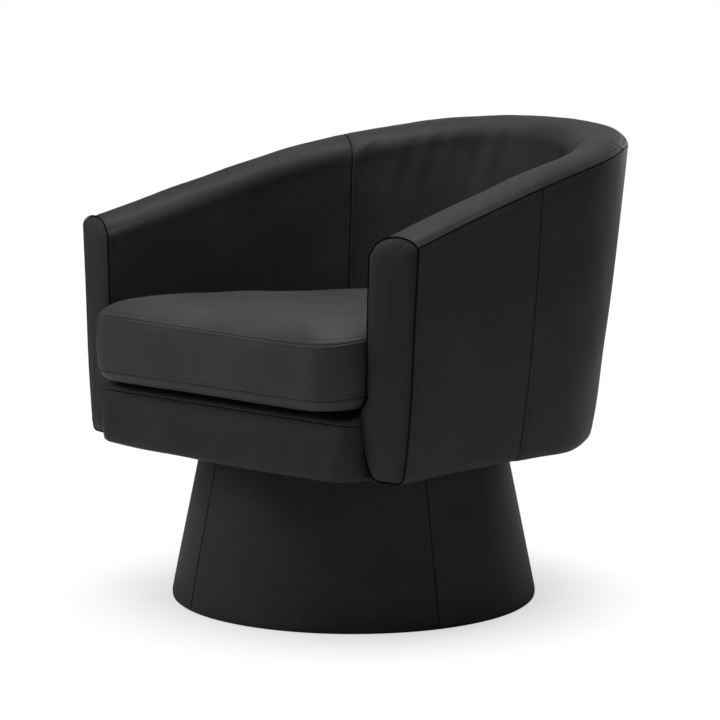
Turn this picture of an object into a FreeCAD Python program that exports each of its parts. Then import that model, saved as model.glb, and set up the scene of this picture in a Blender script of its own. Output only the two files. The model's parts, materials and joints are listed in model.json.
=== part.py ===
import FreeCAD, Part
import math
import os
import Sketcher
from FreeCAD import Placement, Rotation, Vector

# Swivel tub armchair on a cut-off cone base. The origin is on the floor, on the swivel axis.
# X points to the right as seen from the front, Y to the back of the chair and Z up, and in the
# pieces' names left and right are as seen from the front too.

# Driving sizes in millimetres and degrees: one cell of the sheet each.
SIZES = {
    # clearances
    "layer_gap": 0.3,
    "fit_gap": 0.15,
    "overrun": 40,
    # base
    "base_lip_level": 3,
    "base_radius": 275,
    "base_lean": 11.3,
    "base_lip_width": 40,
    "cover_thickness": 1.6,
    "base_pad_thickness": 5,
    "base_wall_thickness": 4,
    "base_board_thickness": 18,
    "base_board_level": 226,
    "base_post_side": 40,
    "base_post_place": 180,
    "base_post_count": 6,
    "wood_screw_radius": 2.2,
    "wood_screw_length": 50,
    "wood_screw_head_radius": 4.5,
    "wood_screw_head_depth": 3,
    # swivel
    "swivel_height": 14,
    "plate_side": 250,
    "plate_thickness": 2,
    "plate_screw_place": 108,
    "race_radius": 95,
    "race_width": 14,
    "ball_radius": 3,
    "ball_count": 24,
    "race_parting": 3,
    "cage_thickness": 1.2,
    "cage_width": 11,
    "plate_screw_radius": 2.2,
    "plate_screw_length": 16,
    "plate_screw_head_radius": 4.5,
    "plate_screw_head_height": 2.6,
    "rivet_radius": 6,
    "rivet_head_radius": 11,
    "rivet_head_height": 3,
    "plate_bolt_radius": 3,
    "plate_bolt_length": 24,
    "plate_bolt_head_radius": 5.5,
    "plate_bolt_head_height": 3,
    "tee_nut_radius": 4.6,
    "tee_nut_flange_radius": 10,
    "tee_nut_flange_height": 1.4,
    "tee_nut_length": 12,
    # shell: two plan outlines, each a back arc with an arm at either side
    "shell_low_level": 238,
    "shell_high_level": 745,
    "shell_low_radius": 313,
    "shell_high_radius": 343,
    "shell_low_centre": 66.8,
    "shell_high_centre": 111.5,
    "arm_splay": 4.4,
    "wall_low_thickness": 62,
    "wall_high_thickness": 84,
    "shell_front": 290,
    # top edge of the shell, seen from the side: one long arc
    "crest_front_place": 243,
    "crest_front_level": 563,
    "crest_back_place": 405.5,
    "crest_back_level": 714,
    "crest_radius": 5000,
    "crest_outer_round": 20,
    "crest_inner_round": 28,
    "shell_edge_round": 18,
    "seam_drop": 17.5,
    "seam_band": 25,
    "outer_seam_place": 24,
    "inner_seam_place": 222,
    # arm fronts
    "facing_inner_reach": 285,
    "facing_place": 243,
    "facing_turn": 10.5,
    "facing_foam": 10,
    "arm_post_thickness": 18,
    # wooden frame
    "outer_board_thickness": 3,
    "frame_depth": 36.5,
    "inner_board_thickness": 3,
    "crest_foam": 18,
    "top_rail_thickness": 18,
    "post_width": 34,
    "side_post_place": 20,
    "back_post_turn": 38,
    "seat_board_thickness": 18,
    "board_step_place": 195,
    "board_nose_place": 262,
    "board_hole_radius": 30,
    "front_rail_thickness": 22,
    "ring_level": 296,
    "ring_thickness": 18,
    "ring_width": 50,
    "ring_front_width": 40,
    "block_side": 30,
    "block_turn": 50,
    "block_front_place": 150,
    # seat springs
    "spring_wire_radius": 1.9,
    "spring_spacing": 82,
    "spring_count": 5,
    "spring_loop_radius": 11,
    "spring_leg": 22,
    "spring_overlap": 14,
    "clip_length": 14,
    "clip_metal": 1.2,
    # seat deck
    "deck_pad_thickness": 8,
    "deck_cloth_thickness": 1,
    # front panel under the cushion
    "front_side_gap": 0.4,
    "front_side_foam": 10,
    "front_foot_place": 274,
    "front_seam_place": 267,
    "front_seam_level": 311,
    "front_bow": 50,
    "front_corner_round": 26,
    "front_return": 18,
    "front_lip_width": 6,
    "dust_cover_thickness": 0.8,
    "dust_cover_inset": 30,
    "dust_cover_step_place": 222,
    "dust_cover_margin": 8,
    "dust_cover_hole": 186,
    # seat cushion
    "cushion_gap": 1.5,
    "cushion_front_place": 305,
    "cushion_corner_radius": 46,
    "cushion_low_seam": 344,
    "cushion_top_seam": 424,
    "cushion_crown": 447,
    "cushion_bulge": 5,
    "cushion_edge_round": 16,
    "cushion_crown_step": 130,
    "zip_reach": 190,
    "zip_level": 378,
    "zip_height": 9,
}

# The cushion's crown: shares of its rise above the top seam, and of the step in from the edge.
CROWN_SHARES = ((0.42, 0.12), (0.78, 0.42), (1.0, 1.0))

doc = FreeCAD.newDocument("swivel_tub_chair")
sheet = doc.addObject("Spreadsheet::Sheet", "Sizes")
for row, (alias, number) in enumerate(SIZES.items(), start=1):
    sheet.set(f"A{row}", alias)
    sheet.set(f"B{row}", str(number))
    sheet.setAlias(f"B{row}", alias)
doc.recompute()


class Size:
    """A sum of sheet sizes: its value now, and the expression that keeps it up to date."""

    def __init__(self, value, text):
        self.value = value
        self.text = text

    def __add__(self, other):
        other = as_size(other)
        return Size(self.value + other.value, f"({self.text} + {other.text})")

    def __sub__(self, other):
        other = as_size(other)
        return Size(self.value - other.value, f"({self.text} - {other.text})")

    def __mul__(self, other):
        other = as_size(other)
        return Size(self.value * other.value, f"({self.text} * {other.text})")

    def __truediv__(self, other):
        other = as_size(other)
        return Size(self.value / other.value, f"({self.text} / {other.text})")

    def __neg__(self):
        return Size(-self.value, f"(0 - {self.text})")

    def __radd__(self, other):
        return as_size(other) + self

    def __rsub__(self, other):
        return as_size(other) - self

    def __rmul__(self, other):
        return as_size(other) * self

    def __rtruediv__(self, other):
        return as_size(other) / self


def as_size(number):
    return number if isinstance(number, Size) else Size(float(number), repr(number))


def root(size):
    return Size(math.sqrt(size.value), f"sqrt({size.text})")


def sine(angle):
    return Size(math.sin(math.radians(angle.value)), f"sin({angle.text})")


def cosine(angle):
    return Size(math.cos(math.radians(angle.value)), f"cos({angle.text})")


def least(first, second):
    return Size(min(first.value, second.value), f"min({first.text}; {second.text})")


class Sheet:
    """Gives each cell of the sheet as a Size, by its alias."""

    def __getattr__(self, alias):
        return Size(float(sheet.get(alias)), f"Sizes.{alias}")


s = Sheet()
ZERO = as_size(0)
parts = []


def bind(obj, name, size):
    """Tie one property of an object to the sheet."""
    if isinstance(size, Size) and size is not ZERO:
        obj.setExpression(name, size.text)


def place(obj, x=ZERO, y=ZERO, z=ZERO, turn=None):
    """Put an object at a point of the sheet's sizes, turned about the vertical through it."""
    angle = turn.value if turn is not None else 0
    base = Vector(as_size(x).value, as_size(y).value, as_size(z).value)
    obj.Placement = Placement(base, Rotation(Vector(0, 0, 1), angle))
    for axis, size in (("x", x), ("y", y), ("z", z)):
        bind(obj, f".Placement.Base.{axis}", as_size(size))
    if turn is not None:
        bind(obj, ".Placement.Rotation.Angle", turn)


def keep(obj, label):
    """Name an object as one of the chair's pieces."""
    obj.Label = label
    parts.append(obj)
    return obj


def box(name, length, width, height, x=ZERO, y=ZERO, z=ZERO, turn=None):
    obj = doc.addObject("Part::Box", name)
    bind(obj, "Length", length)
    bind(obj, "Width", width)
    bind(obj, "Height", height)
    place(obj, x, y, z, turn)
    return obj


def centred_box(name, length, width, height, x, y, z, turn=None):
    """A box on the middle of its foot, turned about the vertical there."""
    angle = turn if turn is not None else ZERO
    shift_x = x - length / 2 * cosine(angle) + width / 2 * sine(angle)
    shift_y = y - length / 2 * sine(angle) - width / 2 * cosine(angle)
    return box(name, length, width, height, shift_x, shift_y, z, angle)


def rod(name, radius, height, x=ZERO, y=ZERO, z=ZERO):
    obj = doc.addObject("Part::Cylinder", name)
    bind(obj, "Radius", radius)
    bind(obj, "Height", height)
    place(obj, x, y, z)
    return obj


def cone(name, low, high, height, x=ZERO, y=ZERO, z=ZERO):
    obj = doc.addObject("Part::Cone", name)
    bind(obj, "Radius1", low)
    bind(obj, "Radius2", high)
    bind(obj, "Height", height)
    place(obj, x, y, z)
    return obj


def cut(name, base, tool):
    obj = doc.addObject("Part::Cut", name)
    obj.Base = base
    obj.Tool = tool
    return obj


def common(name, base, tool):
    obj = doc.addObject("Part::Common", name)
    obj.Base = base
    obj.Tool = tool
    return obj


def group(name, members):
    """Separate solids of one kind, kept as one piece of the list."""
    obj = doc.addObject("Part::Compound", name)
    obj.Links = members
    return obj


def fuse(name, members):
    obj = doc.addObject("Part::MultiFuse", name)
    obj.Shapes = members
    return obj


# Sketches

def new_body(name):
    return doc.addObject("PartDesign::Body", name)


def plane(body, role):
    for feature in body.Origin.OriginFeatures:
        if feature.Role == role:
            return feature
    raise ValueError(role)


def new_sketch(body, name, role, level=ZERO):
    sketch = body.newObject("Sketcher::SketchObject", name)
    sketch.AttachmentSupport = [(plane(body, role), "")]
    sketch.MapMode = "FlatFace"
    bind(sketch, ".AttachmentOffset.Base.z", level)
    return sketch


def pin_point(sketch, geometry, end, x, y):
    """Hold a point of the sketch at two sizes of the sheet."""
    for kind, size in (("DistanceX", x), ("DistanceY", y)):
        if size is ZERO:
            axis = -2 if kind == "DistanceX" else -1
            sketch.addConstraint(Sketcher.Constraint("PointOnObject", geometry, end, axis))
            continue
        index = sketch.addConstraint(Sketcher.Constraint(kind, -1, 1, geometry, end, size.value))
        sketch.setExpression(f"Constraints[{index}]", size.text)


def point(x, y):
    return Vector(as_size(x).value, as_size(y).value, 0)


def polygon(sketch, corners):
    """A closed outline of straight lines through the corners."""
    count = len(corners)
    lines = []
    for number in range(count):
        start = corners[number]
        end = corners[(number + 1) % count]
        lines.append(sketch.addGeometry(Part.LineSegment(point(*start), point(*end)), False))
    for number in range(count):
        following = lines[(number + 1) % count]
        sketch.addConstraint(Sketcher.Constraint("Coincident", lines[number], 2, following, 1))
        pin_point(sketch, lines[number], 1, *corners[number])
    return lines


def circle(sketch, x, y, radius):
    index = sketch.addGeometry(Part.Circle(point(x, y), Vector(0, 0, 1), radius.value), False)
    pin_point(sketch, index, 3, x, y)
    number = sketch.addConstraint(Sketcher.Constraint("Radius", index, radius.value))
    sketch.setExpression(f"Constraints[{number}]", radius.text)
    return index


def arc_between(sketch, start, end, centre, backwards=False):
    """An arc of less than half a circle between two points, about a centre."""
    middle = point(*centre)
    radius = (point(*start) - middle).Length
    first = math.atan2(start[1].value - middle.y, start[0].value - middle.x)
    last = math.atan2(end[1].value - middle.y, end[0].value - middle.x)
    if backwards:
        first, last = last, first
    shape = Part.ArcOfCircle(Part.Circle(middle, Vector(0, 0, 1), radius), first, last)
    return sketch.addGeometry(shape, False)


def turned(name, profile):
    """A ring or disc: its half section in the XZ plane, turned about the vertical axis."""
    body = new_body(name)
    sketch = new_sketch(body, f"{name}_section", "XZ_Plane")
    polygon(sketch, profile)
    revolution = body.newObject("PartDesign::Revolution", f"{name}_turning")
    revolution.Profile = sketch
    revolution.ReferenceAxis = (sketch, ["V_Axis"])
    revolution.Angle = 360
    body.Tip = revolution
    return body


# Shell outlines

def constant(depth):
    """The same answer at every level or point."""
    def anywhere(at):
        return depth
    return anywhere


def share_of_height(level):
    return (level - s.shell_low_level) / (s.shell_high_level - s.shell_low_level)


def shell_radius(level):
    return s.shell_low_radius + (s.shell_high_radius - s.shell_low_radius) * share_of_height(level)


def shell_centre(level):
    return s.shell_low_centre + (s.shell_high_centre - s.shell_low_centre) * share_of_height(level)


def wall_thickness(level):
    growth = s.wall_high_thickness - s.wall_low_thickness
    return s.wall_low_thickness + growth * share_of_height(level)


def arm_reach(level, inset, place_y):
    """Half the shell's width at one level, one depth in the wall and one place along the arms."""
    slope = sine(s.arm_splay) / cosine(s.arm_splay)
    return (shell_radius(level) - inset) / cosine(s.arm_splay) + (shell_centre(level) - place_y) * slope


# half the widths of the front panel and of the wood behind it, which fit between the arms
front_reach = arm_reach(s.shell_low_level, s.wall_low_thickness, -s.facing_place) - s.front_side_gap
nose_reach = front_reach - s.front_side_foam


def tub_points(level, inset, front):
    """The ends of the arm lines and of the back arc, for one level and one depth in the wall."""
    radius = shell_radius(level) - inset
    centre = shell_centre(level)
    arm_x = radius * cosine(s.arm_splay)
    arm_y = centre + radius * sine(s.arm_splay)
    front_x = arm_x + (arm_y - front) * sine(s.arm_splay) / cosine(s.arm_splay)
    return front_x, arm_x, arm_y, centre, centre + radius


def tub_outline(body, name, level, inset, front):
    """Arms as straight lines, the back as two arcs that meet behind the seat."""
    front_x, arm_x, arm_y, centre, back = tub_points(level, inset, front)
    sketch = new_sketch(body, name, "XY_Plane", level)
    right = sketch.addGeometry(Part.LineSegment(point(front_x, front), point(arm_x, arm_y)), False)
    right_arc = arc_between(sketch, (arm_x, arm_y), (ZERO, back), (ZERO, centre))
    left_arc = arc_between(sketch, (ZERO, back), (-arm_x, arm_y), (ZERO, centre))
    left = sketch.addGeometry(Part.LineSegment(point(-arm_x, arm_y), point(-front_x, front)), False)
    closing = sketch.addGeometry(Part.LineSegment(point(-front_x, front), point(front_x, front)), False)
    chain = [right, right_arc, left_arc, left, closing]
    for number, edge in enumerate(chain):
        following = chain[(number + 1) % len(chain)]
        sketch.addConstraint(Sketcher.Constraint("Coincident", edge, 2, following, 1))
    pin_point(sketch, right, 1, front_x, front)
    pin_point(sketch, right, 2, arm_x, arm_y)
    pin_point(sketch, left, 1, -arm_x, arm_y)
    pin_point(sketch, left, 2, -front_x, front)
    pin_point(sketch, right_arc, 3, ZERO, centre)
    sketch.addConstraint(Sketcher.Constraint("PointOnObject", right_arc, 2, -2))
    sketch.addConstraint(Sketcher.Constraint("PointOnObject", left_arc, 3, -2))
    return sketch


def tub_loft(body, kind, name, low, high, low_inset, high_inset, front):
    """A solid between two outlines of the shell, or a hollow cut as one."""
    low_sketch = tub_outline(body, f"{name}_low", low, low_inset, front)
    high_sketch = tub_outline(body, f"{name}_high", high, high_inset, front)
    loft = body.newObject(kind, name)
    loft.Profile = low_sketch
    loft.Sections = [high_sketch]
    loft.Ruled = True
    body.Tip = loft
    return loft


def crest_level(place_y, drop):
    """Height of the top edge at a place along the chair, less a drop."""
    front_y = -s.crest_front_place
    half_y = (s.crest_back_place - front_y) / 2
    half_z = (s.crest_back_level - s.crest_front_level) / 2
    half_chord = root(half_y * half_y + half_z * half_z)
    sag = root(s.crest_radius * s.crest_radius - half_chord * half_chord)
    centre_y = front_y + half_y + sag * half_z / half_chord
    centre_z = s.crest_front_level + half_z - sag * half_y / half_chord - drop
    away = place_y - centre_y
    return centre_z + root(s.crest_radius * s.crest_radius - away * away), centre_y, centre_z


def crest_cut(body, name, drop, above=True):
    """Take away all that lies above, or below, the top edge lowered by a drop."""
    front = -(s.shell_front + s.overrun)
    back = s.shell_high_centre + s.shell_high_radius + s.overrun
    front_level, centre_y, centre_z = crest_level(front, drop)
    back_level = crest_level(back, drop)[0]
    limit = s.shell_high_level + s.overrun if above else -s.overrun
    sketch = new_sketch(body, f"{name}_profile", "YZ_Plane")
    arc = arc_between(sketch, (back, back_level), (front, front_level), (centre_y, centre_z))
    corners = [(front, front_level), (front, limit), (back, limit), (back, back_level)]
    lines = []
    for start, end in zip(corners, corners[1:]):
        lines.append(sketch.addGeometry(Part.LineSegment(point(*start), point(*end)), False))
    chain = [arc] + lines
    for number, edge in enumerate(chain):
        following = chain[(number + 1) % len(chain)]
        sketch.addConstraint(Sketcher.Constraint("Coincident", edge, 2, following, 1))
    for line, corner in zip(lines, corners):
        pin_point(sketch, line, 1, *corner)
    pin_point(sketch, lines[-1], 2, *corners[-1])
    number = sketch.addConstraint(Sketcher.Constraint("Radius", arc, s.crest_radius.value))
    sketch.setExpression(f"Constraints[{number}]", s.crest_radius.text)
    pocket = body.newObject("PartDesign::Pocket", name)
    pocket.Profile = sketch
    pocket.SideType = "Symmetric"
    bind(pocket, "Length", (s.shell_high_radius + s.overrun) * 2 + s.shell_front)
    body.Tip = pocket
    return pocket


def wall_body(name, outer, inner, low=None, drop=ZERO, floor_drop=None):
    """Part of the shell's wall between two depths, cut off by the top edge."""
    low = low if low is not None else s.shell_low_level
    high = s.shell_high_level
    front = -s.shell_front
    body = new_body(name)
    tub_loft(body, "PartDesign::AdditiveLoft", f"{name}_outside", low, high,
             outer(low), outer(high), front)
    deeper = front - s.overrun
    tub_loft(body, "PartDesign::SubtractiveLoft", f"{name}_inside", low, high,
             inner(low), inner(high), deeper)
    crest_cut(body, f"{name}_top", drop)
    if floor_drop is not None:
        crest_cut(body, f"{name}_under", floor_drop, above=False)
    return body


def depth_in_wall(at):
    """How far a point lies inside the shell's outer surface, measured level."""
    share = (at.z - s.shell_low_level.value) / (s.shell_high_level - s.shell_low_level).value
    radius = s.shell_low_radius.value + (s.shell_high_radius - s.shell_low_radius).value * share
    centre = s.shell_low_centre.value + (s.shell_high_centre - s.shell_low_centre).value * share
    splay = math.radians(s.arm_splay.value)
    if at.y > centre + radius * math.sin(splay):
        return radius - math.hypot(at.x, at.y - centre)
    return radius - abs(at.x) * math.cos(splay) - (at.y - centre) * math.sin(splay)


def edges_of(shape, depth, height):
    """Names of the long edges that follow the wall at one depth and one height."""
    names = []
    for number, edge in enumerate(shape.Edges, start=1):
        middle = edge.valueAt((edge.FirstParameter + edge.LastParameter) / 2)
        at_height = abs(middle.z - height(middle)) < s.layer_gap.value
        at_depth = abs(depth_in_wall(middle) - depth(middle)) < s.layer_gap.value
        if at_height and at_depth and edge.Length > s.wall_high_thickness.value:
            names.append(f"Edge{number}")
    return names


def round_edges(body, name, radius, depth, height):
    doc.recompute()
    base = body.Tip
    fillet = body.newObject("PartDesign::Fillet", name)
    fillet.Base = (base, edges_of(base.Shape, depth, height))
    bind(fillet, "Radius", radius)
    body.Tip = fillet


def at_top(drop):
    """Height of the top edge above any point, as a plain number."""
    def level(at):
        return crest_level(as_size(at.y), drop)[0].value
    return level


def padded_wall(name, skin):
    """The whole upholstered wall, or the same with a skin's thickness taken off all round."""
    low = s.shell_low_level + skin
    body = wall_body(name, lambda z: skin, lambda z: wall_thickness(z) - skin, low, skin)
    outer = constant(skin.value)

    def inner(at):
        return wall_thickness(as_size(at.z)).value - skin.value

    round_edges(body, f"{name}_outer_round", s.crest_outer_round - skin, outer, at_top(skin))
    round_edges(body, f"{name}_inner_round", s.crest_inner_round - skin, inner, at_top(skin))
    round_edges(body, f"{name}_foot_round", s.shell_edge_round - skin, outer, constant(low.value))
    return body


def facing_slab(name, side, start, depth):
    """A slab behind the arm front's plane on one side, from one distance to another."""
    reach = s.shell_front * 2
    turn = s.facing_turn
    height = s.shell_high_level + s.overrun
    inward = s.shell_front / 2
    # the slab's inner near corner, moved along the arm front's line and back from it
    start_x = s.facing_inner_reach - inward * cosine(turn) - start * sine(turn)
    start_y = -s.facing_place - inward * sine(turn) + start * cosine(turn)
    if side > 0:
        return box(name, reach, depth, height, start_x, start_y, ZERO, turn)
    far_x = -start_x - reach * cosine(turn)
    far_y = start_y + reach * sine(turn)
    return box(name, reach, depth, height, far_x, far_y, ZERO, -turn)


def both_slabs(name, start, depth):
    return fuse(name, [facing_slab(f"{name}_right", 1, start, depth),
                       facing_slab(f"{name}_left", -1, start, depth)])


def behind_front(name, piece, distance):
    """Cut a piece of the wall off at a distance behind the arm fronts."""
    reach = s.shell_front
    return cut(name, piece, both_slabs(f"{name}_front", distance - reach, reach))


# Base

def lean_radius(level, inset):
    """Outer radius of the cone at a level, less a depth in its wall."""
    lean = sine(s.base_lean) / cosine(s.base_lean)
    return s.base_radius - inset - lean * level


cover = s.cover_thickness
gap = s.layer_gap
base_top = s.base_board_level + cover
pad_inset = cover + gap
wall_inset = pad_inset + s.base_pad_thickness + gap
board_inset = wall_inset + s.base_wall_thickness + gap
base_foot = s.base_lip_level + cover + gap


def make_base_cover():
    """Leather cone, turned in over the top board and under the bottom board."""
    low, high = s.base_lip_level, base_top
    low_in, high_in = low + cover, high - cover
    lip = s.base_lip_width
    profile = [
        (lean_radius(low, lip), low),
        (lean_radius(low, ZERO), low),
        (lean_radius(high, ZERO), high),
        (lean_radius(high, lip), high),
        (lean_radius(high, lip), high_in),
        (lean_radius(high_in, cover), high_in),
        (lean_radius(low_in, cover), low_in),
        (lean_radius(low, lip), low_in),
    ]
    keep(turned("BaseCover", profile), "base_cover")


def make_cone_layer(label, name, outer, thickness):
    low, high = base_foot, s.base_board_level - gap
    keep(turned(name, [
        (lean_radius(low, outer + thickness), low),
        (lean_radius(low, outer), low),
        (lean_radius(high, outer), high),
        (lean_radius(high, outer + thickness), high),
    ]), label)


def ring_places(count, radius, first_turn=ZERO):
    """Places evenly round a circle, as sizes."""
    places = []
    for number in range(int(count.value)):
        angle = first_turn + 360 / count * number
        places.append((radius * cosine(angle), radius * sine(angle), angle))
    return places


def corner_places(reach):
    return [(reach * x, reach * y) for x, y in ((1, 1), (-1, 1), (-1, -1), (1, -1))]


def drilled(name, base, holes):
    """A piece with upright round holes: each hole is a place, a radius, a foot and a depth."""
    tools = []
    for number, (x, y, radius, foot, depth) in enumerate(holes):
        tools.append(rod(f"{name}_hole{number}", radius, depth, x, y, foot))
    return cut(name, base, group(f"{name}_holes", tools))


def wood_screw(name, x, y, head_level, direction):
    """A countersunk screw with its head flush at a level, pointing up or down."""
    shank = s.wood_screw_length
    head = s.wood_screw_head_depth
    if direction > 0:
        foot, head_foot = head_level, head_level
        low, high = s.wood_screw_head_radius, s.wood_screw_radius
    else:
        foot, head_foot = head_level - shank, head_level - head
        low, high = s.wood_screw_radius, s.wood_screw_head_radius
    return fuse(name, [rod(f"{name}_shank", s.wood_screw_radius, shank, x, y, foot),
                       cone(f"{name}_head", low, high, head, x, y, head_foot)])


def screw_room(name, screws, grow):
    """The room that a set of screws takes up, a little wider than the screws."""
    shapes = []
    for number, (x, y, head_level, direction) in enumerate(screws):
        shank = s.wood_screw_length + grow
        head = s.wood_screw_head_depth + grow
        wide = s.wood_screw_head_radius + grow
        narrow = s.wood_screw_radius + grow
        if direction > 0:
            foot, head_foot, low, high = head_level, head_level, wide, narrow
        else:
            foot, head_foot, low, high = head_level - shank, head_level - head, narrow, wide
        shapes.append(rod(f"{name}_shank{number}", narrow, shank, x, y, foot))
        shapes.append(cone(f"{name}_head{number}", low, high, head, x, y, head_foot))
    return fuse(name, shapes)


def make_base_frame():
    """Two round boards held apart by upright blocks, each screwed from both ends."""
    thick = s.base_board_thickness
    top_foot = s.base_board_level - thick
    posts_foot = base_foot + thick
    places = ring_places(s.base_post_count, s.base_post_place)
    screws = []
    for x, y, _ in places:
        screws.append((x, y, base_foot, 1))
        screws.append((x, y, s.base_board_level, -1))
    room = screw_room("BaseScrewRoom", screws, s.fit_gap)
    bottom = rod("BaseBottomBlank", lean_radius(posts_foot, board_inset), thick, ZERO, ZERO, base_foot)
    top = rod("BaseTopBlank", lean_radius(s.base_board_level, board_inset), thick, ZERO, ZERO, top_foot)
    keep(cut("BaseBottomBoard", bottom, room), "base_bottom_board")
    plate_holes = [(x, y, s.plate_screw_radius + s.fit_gap, s.base_board_level - s.plate_screw_length,
                    s.plate_screw_length) for x, y in corner_places(s.plate_screw_place)]
    rivet = (ZERO, ZERO, s.rivet_head_radius + s.fit_gap,
             s.base_board_level - s.rivet_head_height, s.rivet_head_height)
    top = drilled("BaseTopDrilled", top, plate_holes + [rivet])
    keep(cut("BaseTopBoard", top, room), "base_top_board")
    posts = []
    for number, (x, y, angle) in enumerate(places):
        posts.append(centred_box(f"BasePost{number}", s.base_post_side, s.base_post_side,
                                 top_foot - posts_foot, x, y, posts_foot, angle))
    keep(cut("BasePosts", group("BasePostBlanks", posts), room), "base_posts")
    made = [wood_screw(f"BaseScrew{number}", *screw) for number, screw in enumerate(screws)]
    keep(group("BaseScrews", made), "base_screws")


def make_base_felt():
    """Felt disc under the bottom board, inside the leather's lip: the base stands on it."""
    radius = lean_radius(s.base_lip_level, s.base_lip_width) - gap
    keep(rod("BaseFelt", radius, base_foot), "base_felt")


# Swivel

plate_low = s.base_board_level
plate_high = plate_low + s.swivel_height
race_middle = plate_low + s.swivel_height / 2


def race_plate(name, level, race_foot, race_height):
    """A square pressed plate with the ring that the balls run in."""
    plate = centred_box(f"{name}Sheet", s.plate_side, s.plate_side, s.plate_thickness, ZERO, ZERO, level)
    half = s.race_width / 2
    ring = turned(f"{name}Race", [
        (s.race_radius - half, race_foot),
        (s.race_radius + half, race_foot),
        (s.race_radius + half, race_foot + race_height),
        (s.race_radius - half, race_foot + race_height),
    ])
    whole = fuse(f"{name}Whole", [plate, ring])
    track = doc.addObject("Part::Torus", f"{name}Track")
    bind(track, "Radius1", s.race_radius)
    bind(track, "Radius2", s.ball_radius + s.fit_gap)
    place(track, ZERO, ZERO, race_middle)
    return cut(f"{name}Grooved", whole, track)


def make_lower_plate():
    thick = s.plate_thickness
    height = (s.swivel_height - s.race_parting) / 2
    plate = race_plate("LowerPlate", plate_low, plate_low, height)
    holes = [(x, y, s.plate_screw_radius + s.fit_gap, plate_low, thick)
             for x, y in corner_places(s.plate_screw_place)]
    holes.append((ZERO, ZERO, s.rivet_radius, plate_low, thick))
    keep(drilled("SwivelLowerPlate", plate, holes), "swivel_lower_plate")
    screws = []
    for number, (x, y) in enumerate(corner_places(s.plate_screw_place)):
        shank = rod(f"PlateScrewShank{number}", s.plate_screw_radius,
                    s.plate_screw_length + thick - gap, x, y, plate_low - s.plate_screw_length + gap)
        head = rod(f"PlateScrewHead{number}", s.plate_screw_head_radius,
                   s.plate_screw_head_height, x, y, plate_low + thick)
        screws.append(fuse(f"PlateScrew{number}", [shank, head]))
    keep(group("SwivelLowerScrews", screws), "swivel_lower_screws")


def make_rivet():
    """Centre rivet: it keeps the upper plate from lifting off the lower one."""
    head = s.rivet_head_height
    shank = rod("RivetShank", s.rivet_radius - s.fit_gap, s.swivel_height + gap * 2,
                ZERO, ZERO, plate_low - gap)
    low = rod("RivetLowHead", s.rivet_head_radius, head - gap, ZERO, ZERO, plate_low - head)
    high = rod("RivetHighHead", s.rivet_head_radius, head, ZERO, ZERO, plate_high + gap)
    keep(fuse("SwivelRivet", [shank, low, high]), "swivel_rivet")


def make_cage():
    """Flat ring with a hole for each ball, and the balls in it."""
    half = s.cage_width / 2
    level = race_middle - s.cage_thickness / 2
    ring = turned("CageRing", [
        (s.race_radius - half, level),
        (s.race_radius + half, level),
        (s.race_radius + half, level + s.cage_thickness),
        (s.race_radius - half, level + s.cage_thickness),
    ])
    places = ring_places(s.ball_count, s.race_radius)
    holes = [(x, y, s.ball_radius + s.fit_gap, level, s.cage_thickness) for x, y, _ in places]
    keep(drilled("SwivelCage", ring, holes), "swivel_cage")
    balls = []
    for number, (x, y, _) in enumerate(places):
        ball = doc.addObject("Part::Sphere", f"Ball{number}")
        bind(ball, "Radius", s.ball_radius)
        place(ball, x, y, race_middle)
        balls.append(ball)
    keep(group("SwivelBalls", balls), "swivel_balls")


def make_upper_plate():
    thick = s.plate_thickness
    height = (s.swivel_height - s.race_parting) / 2
    plate = race_plate("UpperPlate", plate_high - thick, plate_high - height, height)
    holes = [(x, y, s.plate_bolt_radius + s.fit_gap, plate_high - thick, thick)
             for x, y in corner_places(s.plate_screw_place)]
    holes.append((ZERO, ZERO, s.rivet_radius + s.fit_gap, plate_high - thick, thick))
    keep(drilled("SwivelUpperPlate", plate, holes), "swivel_upper_plate")
    bolts, nuts = [], []
    foot = plate_high - thick - s.plate_bolt_head_height
    nut_top = plate_high + s.seat_board_thickness + s.tee_nut_flange_height
    for number, (x, y) in enumerate(corner_places(s.plate_screw_place)):
        head = rod(f"BoltHead{number}", s.plate_bolt_head_radius, s.plate_bolt_head_height, x, y, foot)
        shank = rod(f"BoltShank{number}", s.plate_bolt_radius, s.plate_bolt_length, x, y, foot)
        bolts.append(fuse(f"Bolt{number}", [head, shank]))
        flange = rod(f"NutFlange{number}", s.tee_nut_flange_radius, s.tee_nut_flange_height,
                     x, y, nut_top - s.tee_nut_flange_height)
        barrel = rod(f"NutBarrel{number}", s.tee_nut_radius - s.fit_gap, s.tee_nut_length,
                     x, y, nut_top - s.tee_nut_length)
        bore = rod(f"NutBore{number}", s.plate_bolt_radius + s.fit_gap, s.tee_nut_length,
                   x, y, nut_top - s.tee_nut_length)
        nuts.append(cut(f"Nut{number}", fuse(f"NutBlank{number}", [flange, barrel]), bore))
    keep(group("SwivelBolts", bolts), "swivel_bolts")
    keep(group("TeeNuts", nuts), "tee_nuts")


# Seat board, ring and springs

board_level = plate_high
board_top = board_level + s.seat_board_thickness
frame_inset = cover + gap + s.outer_board_thickness + gap
inner_board_inset = frame_inset + s.frame_depth + gap
pad_wall_inset = inner_board_inset + s.inner_board_thickness + gap
ring_top = s.ring_level + s.ring_thickness


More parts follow.
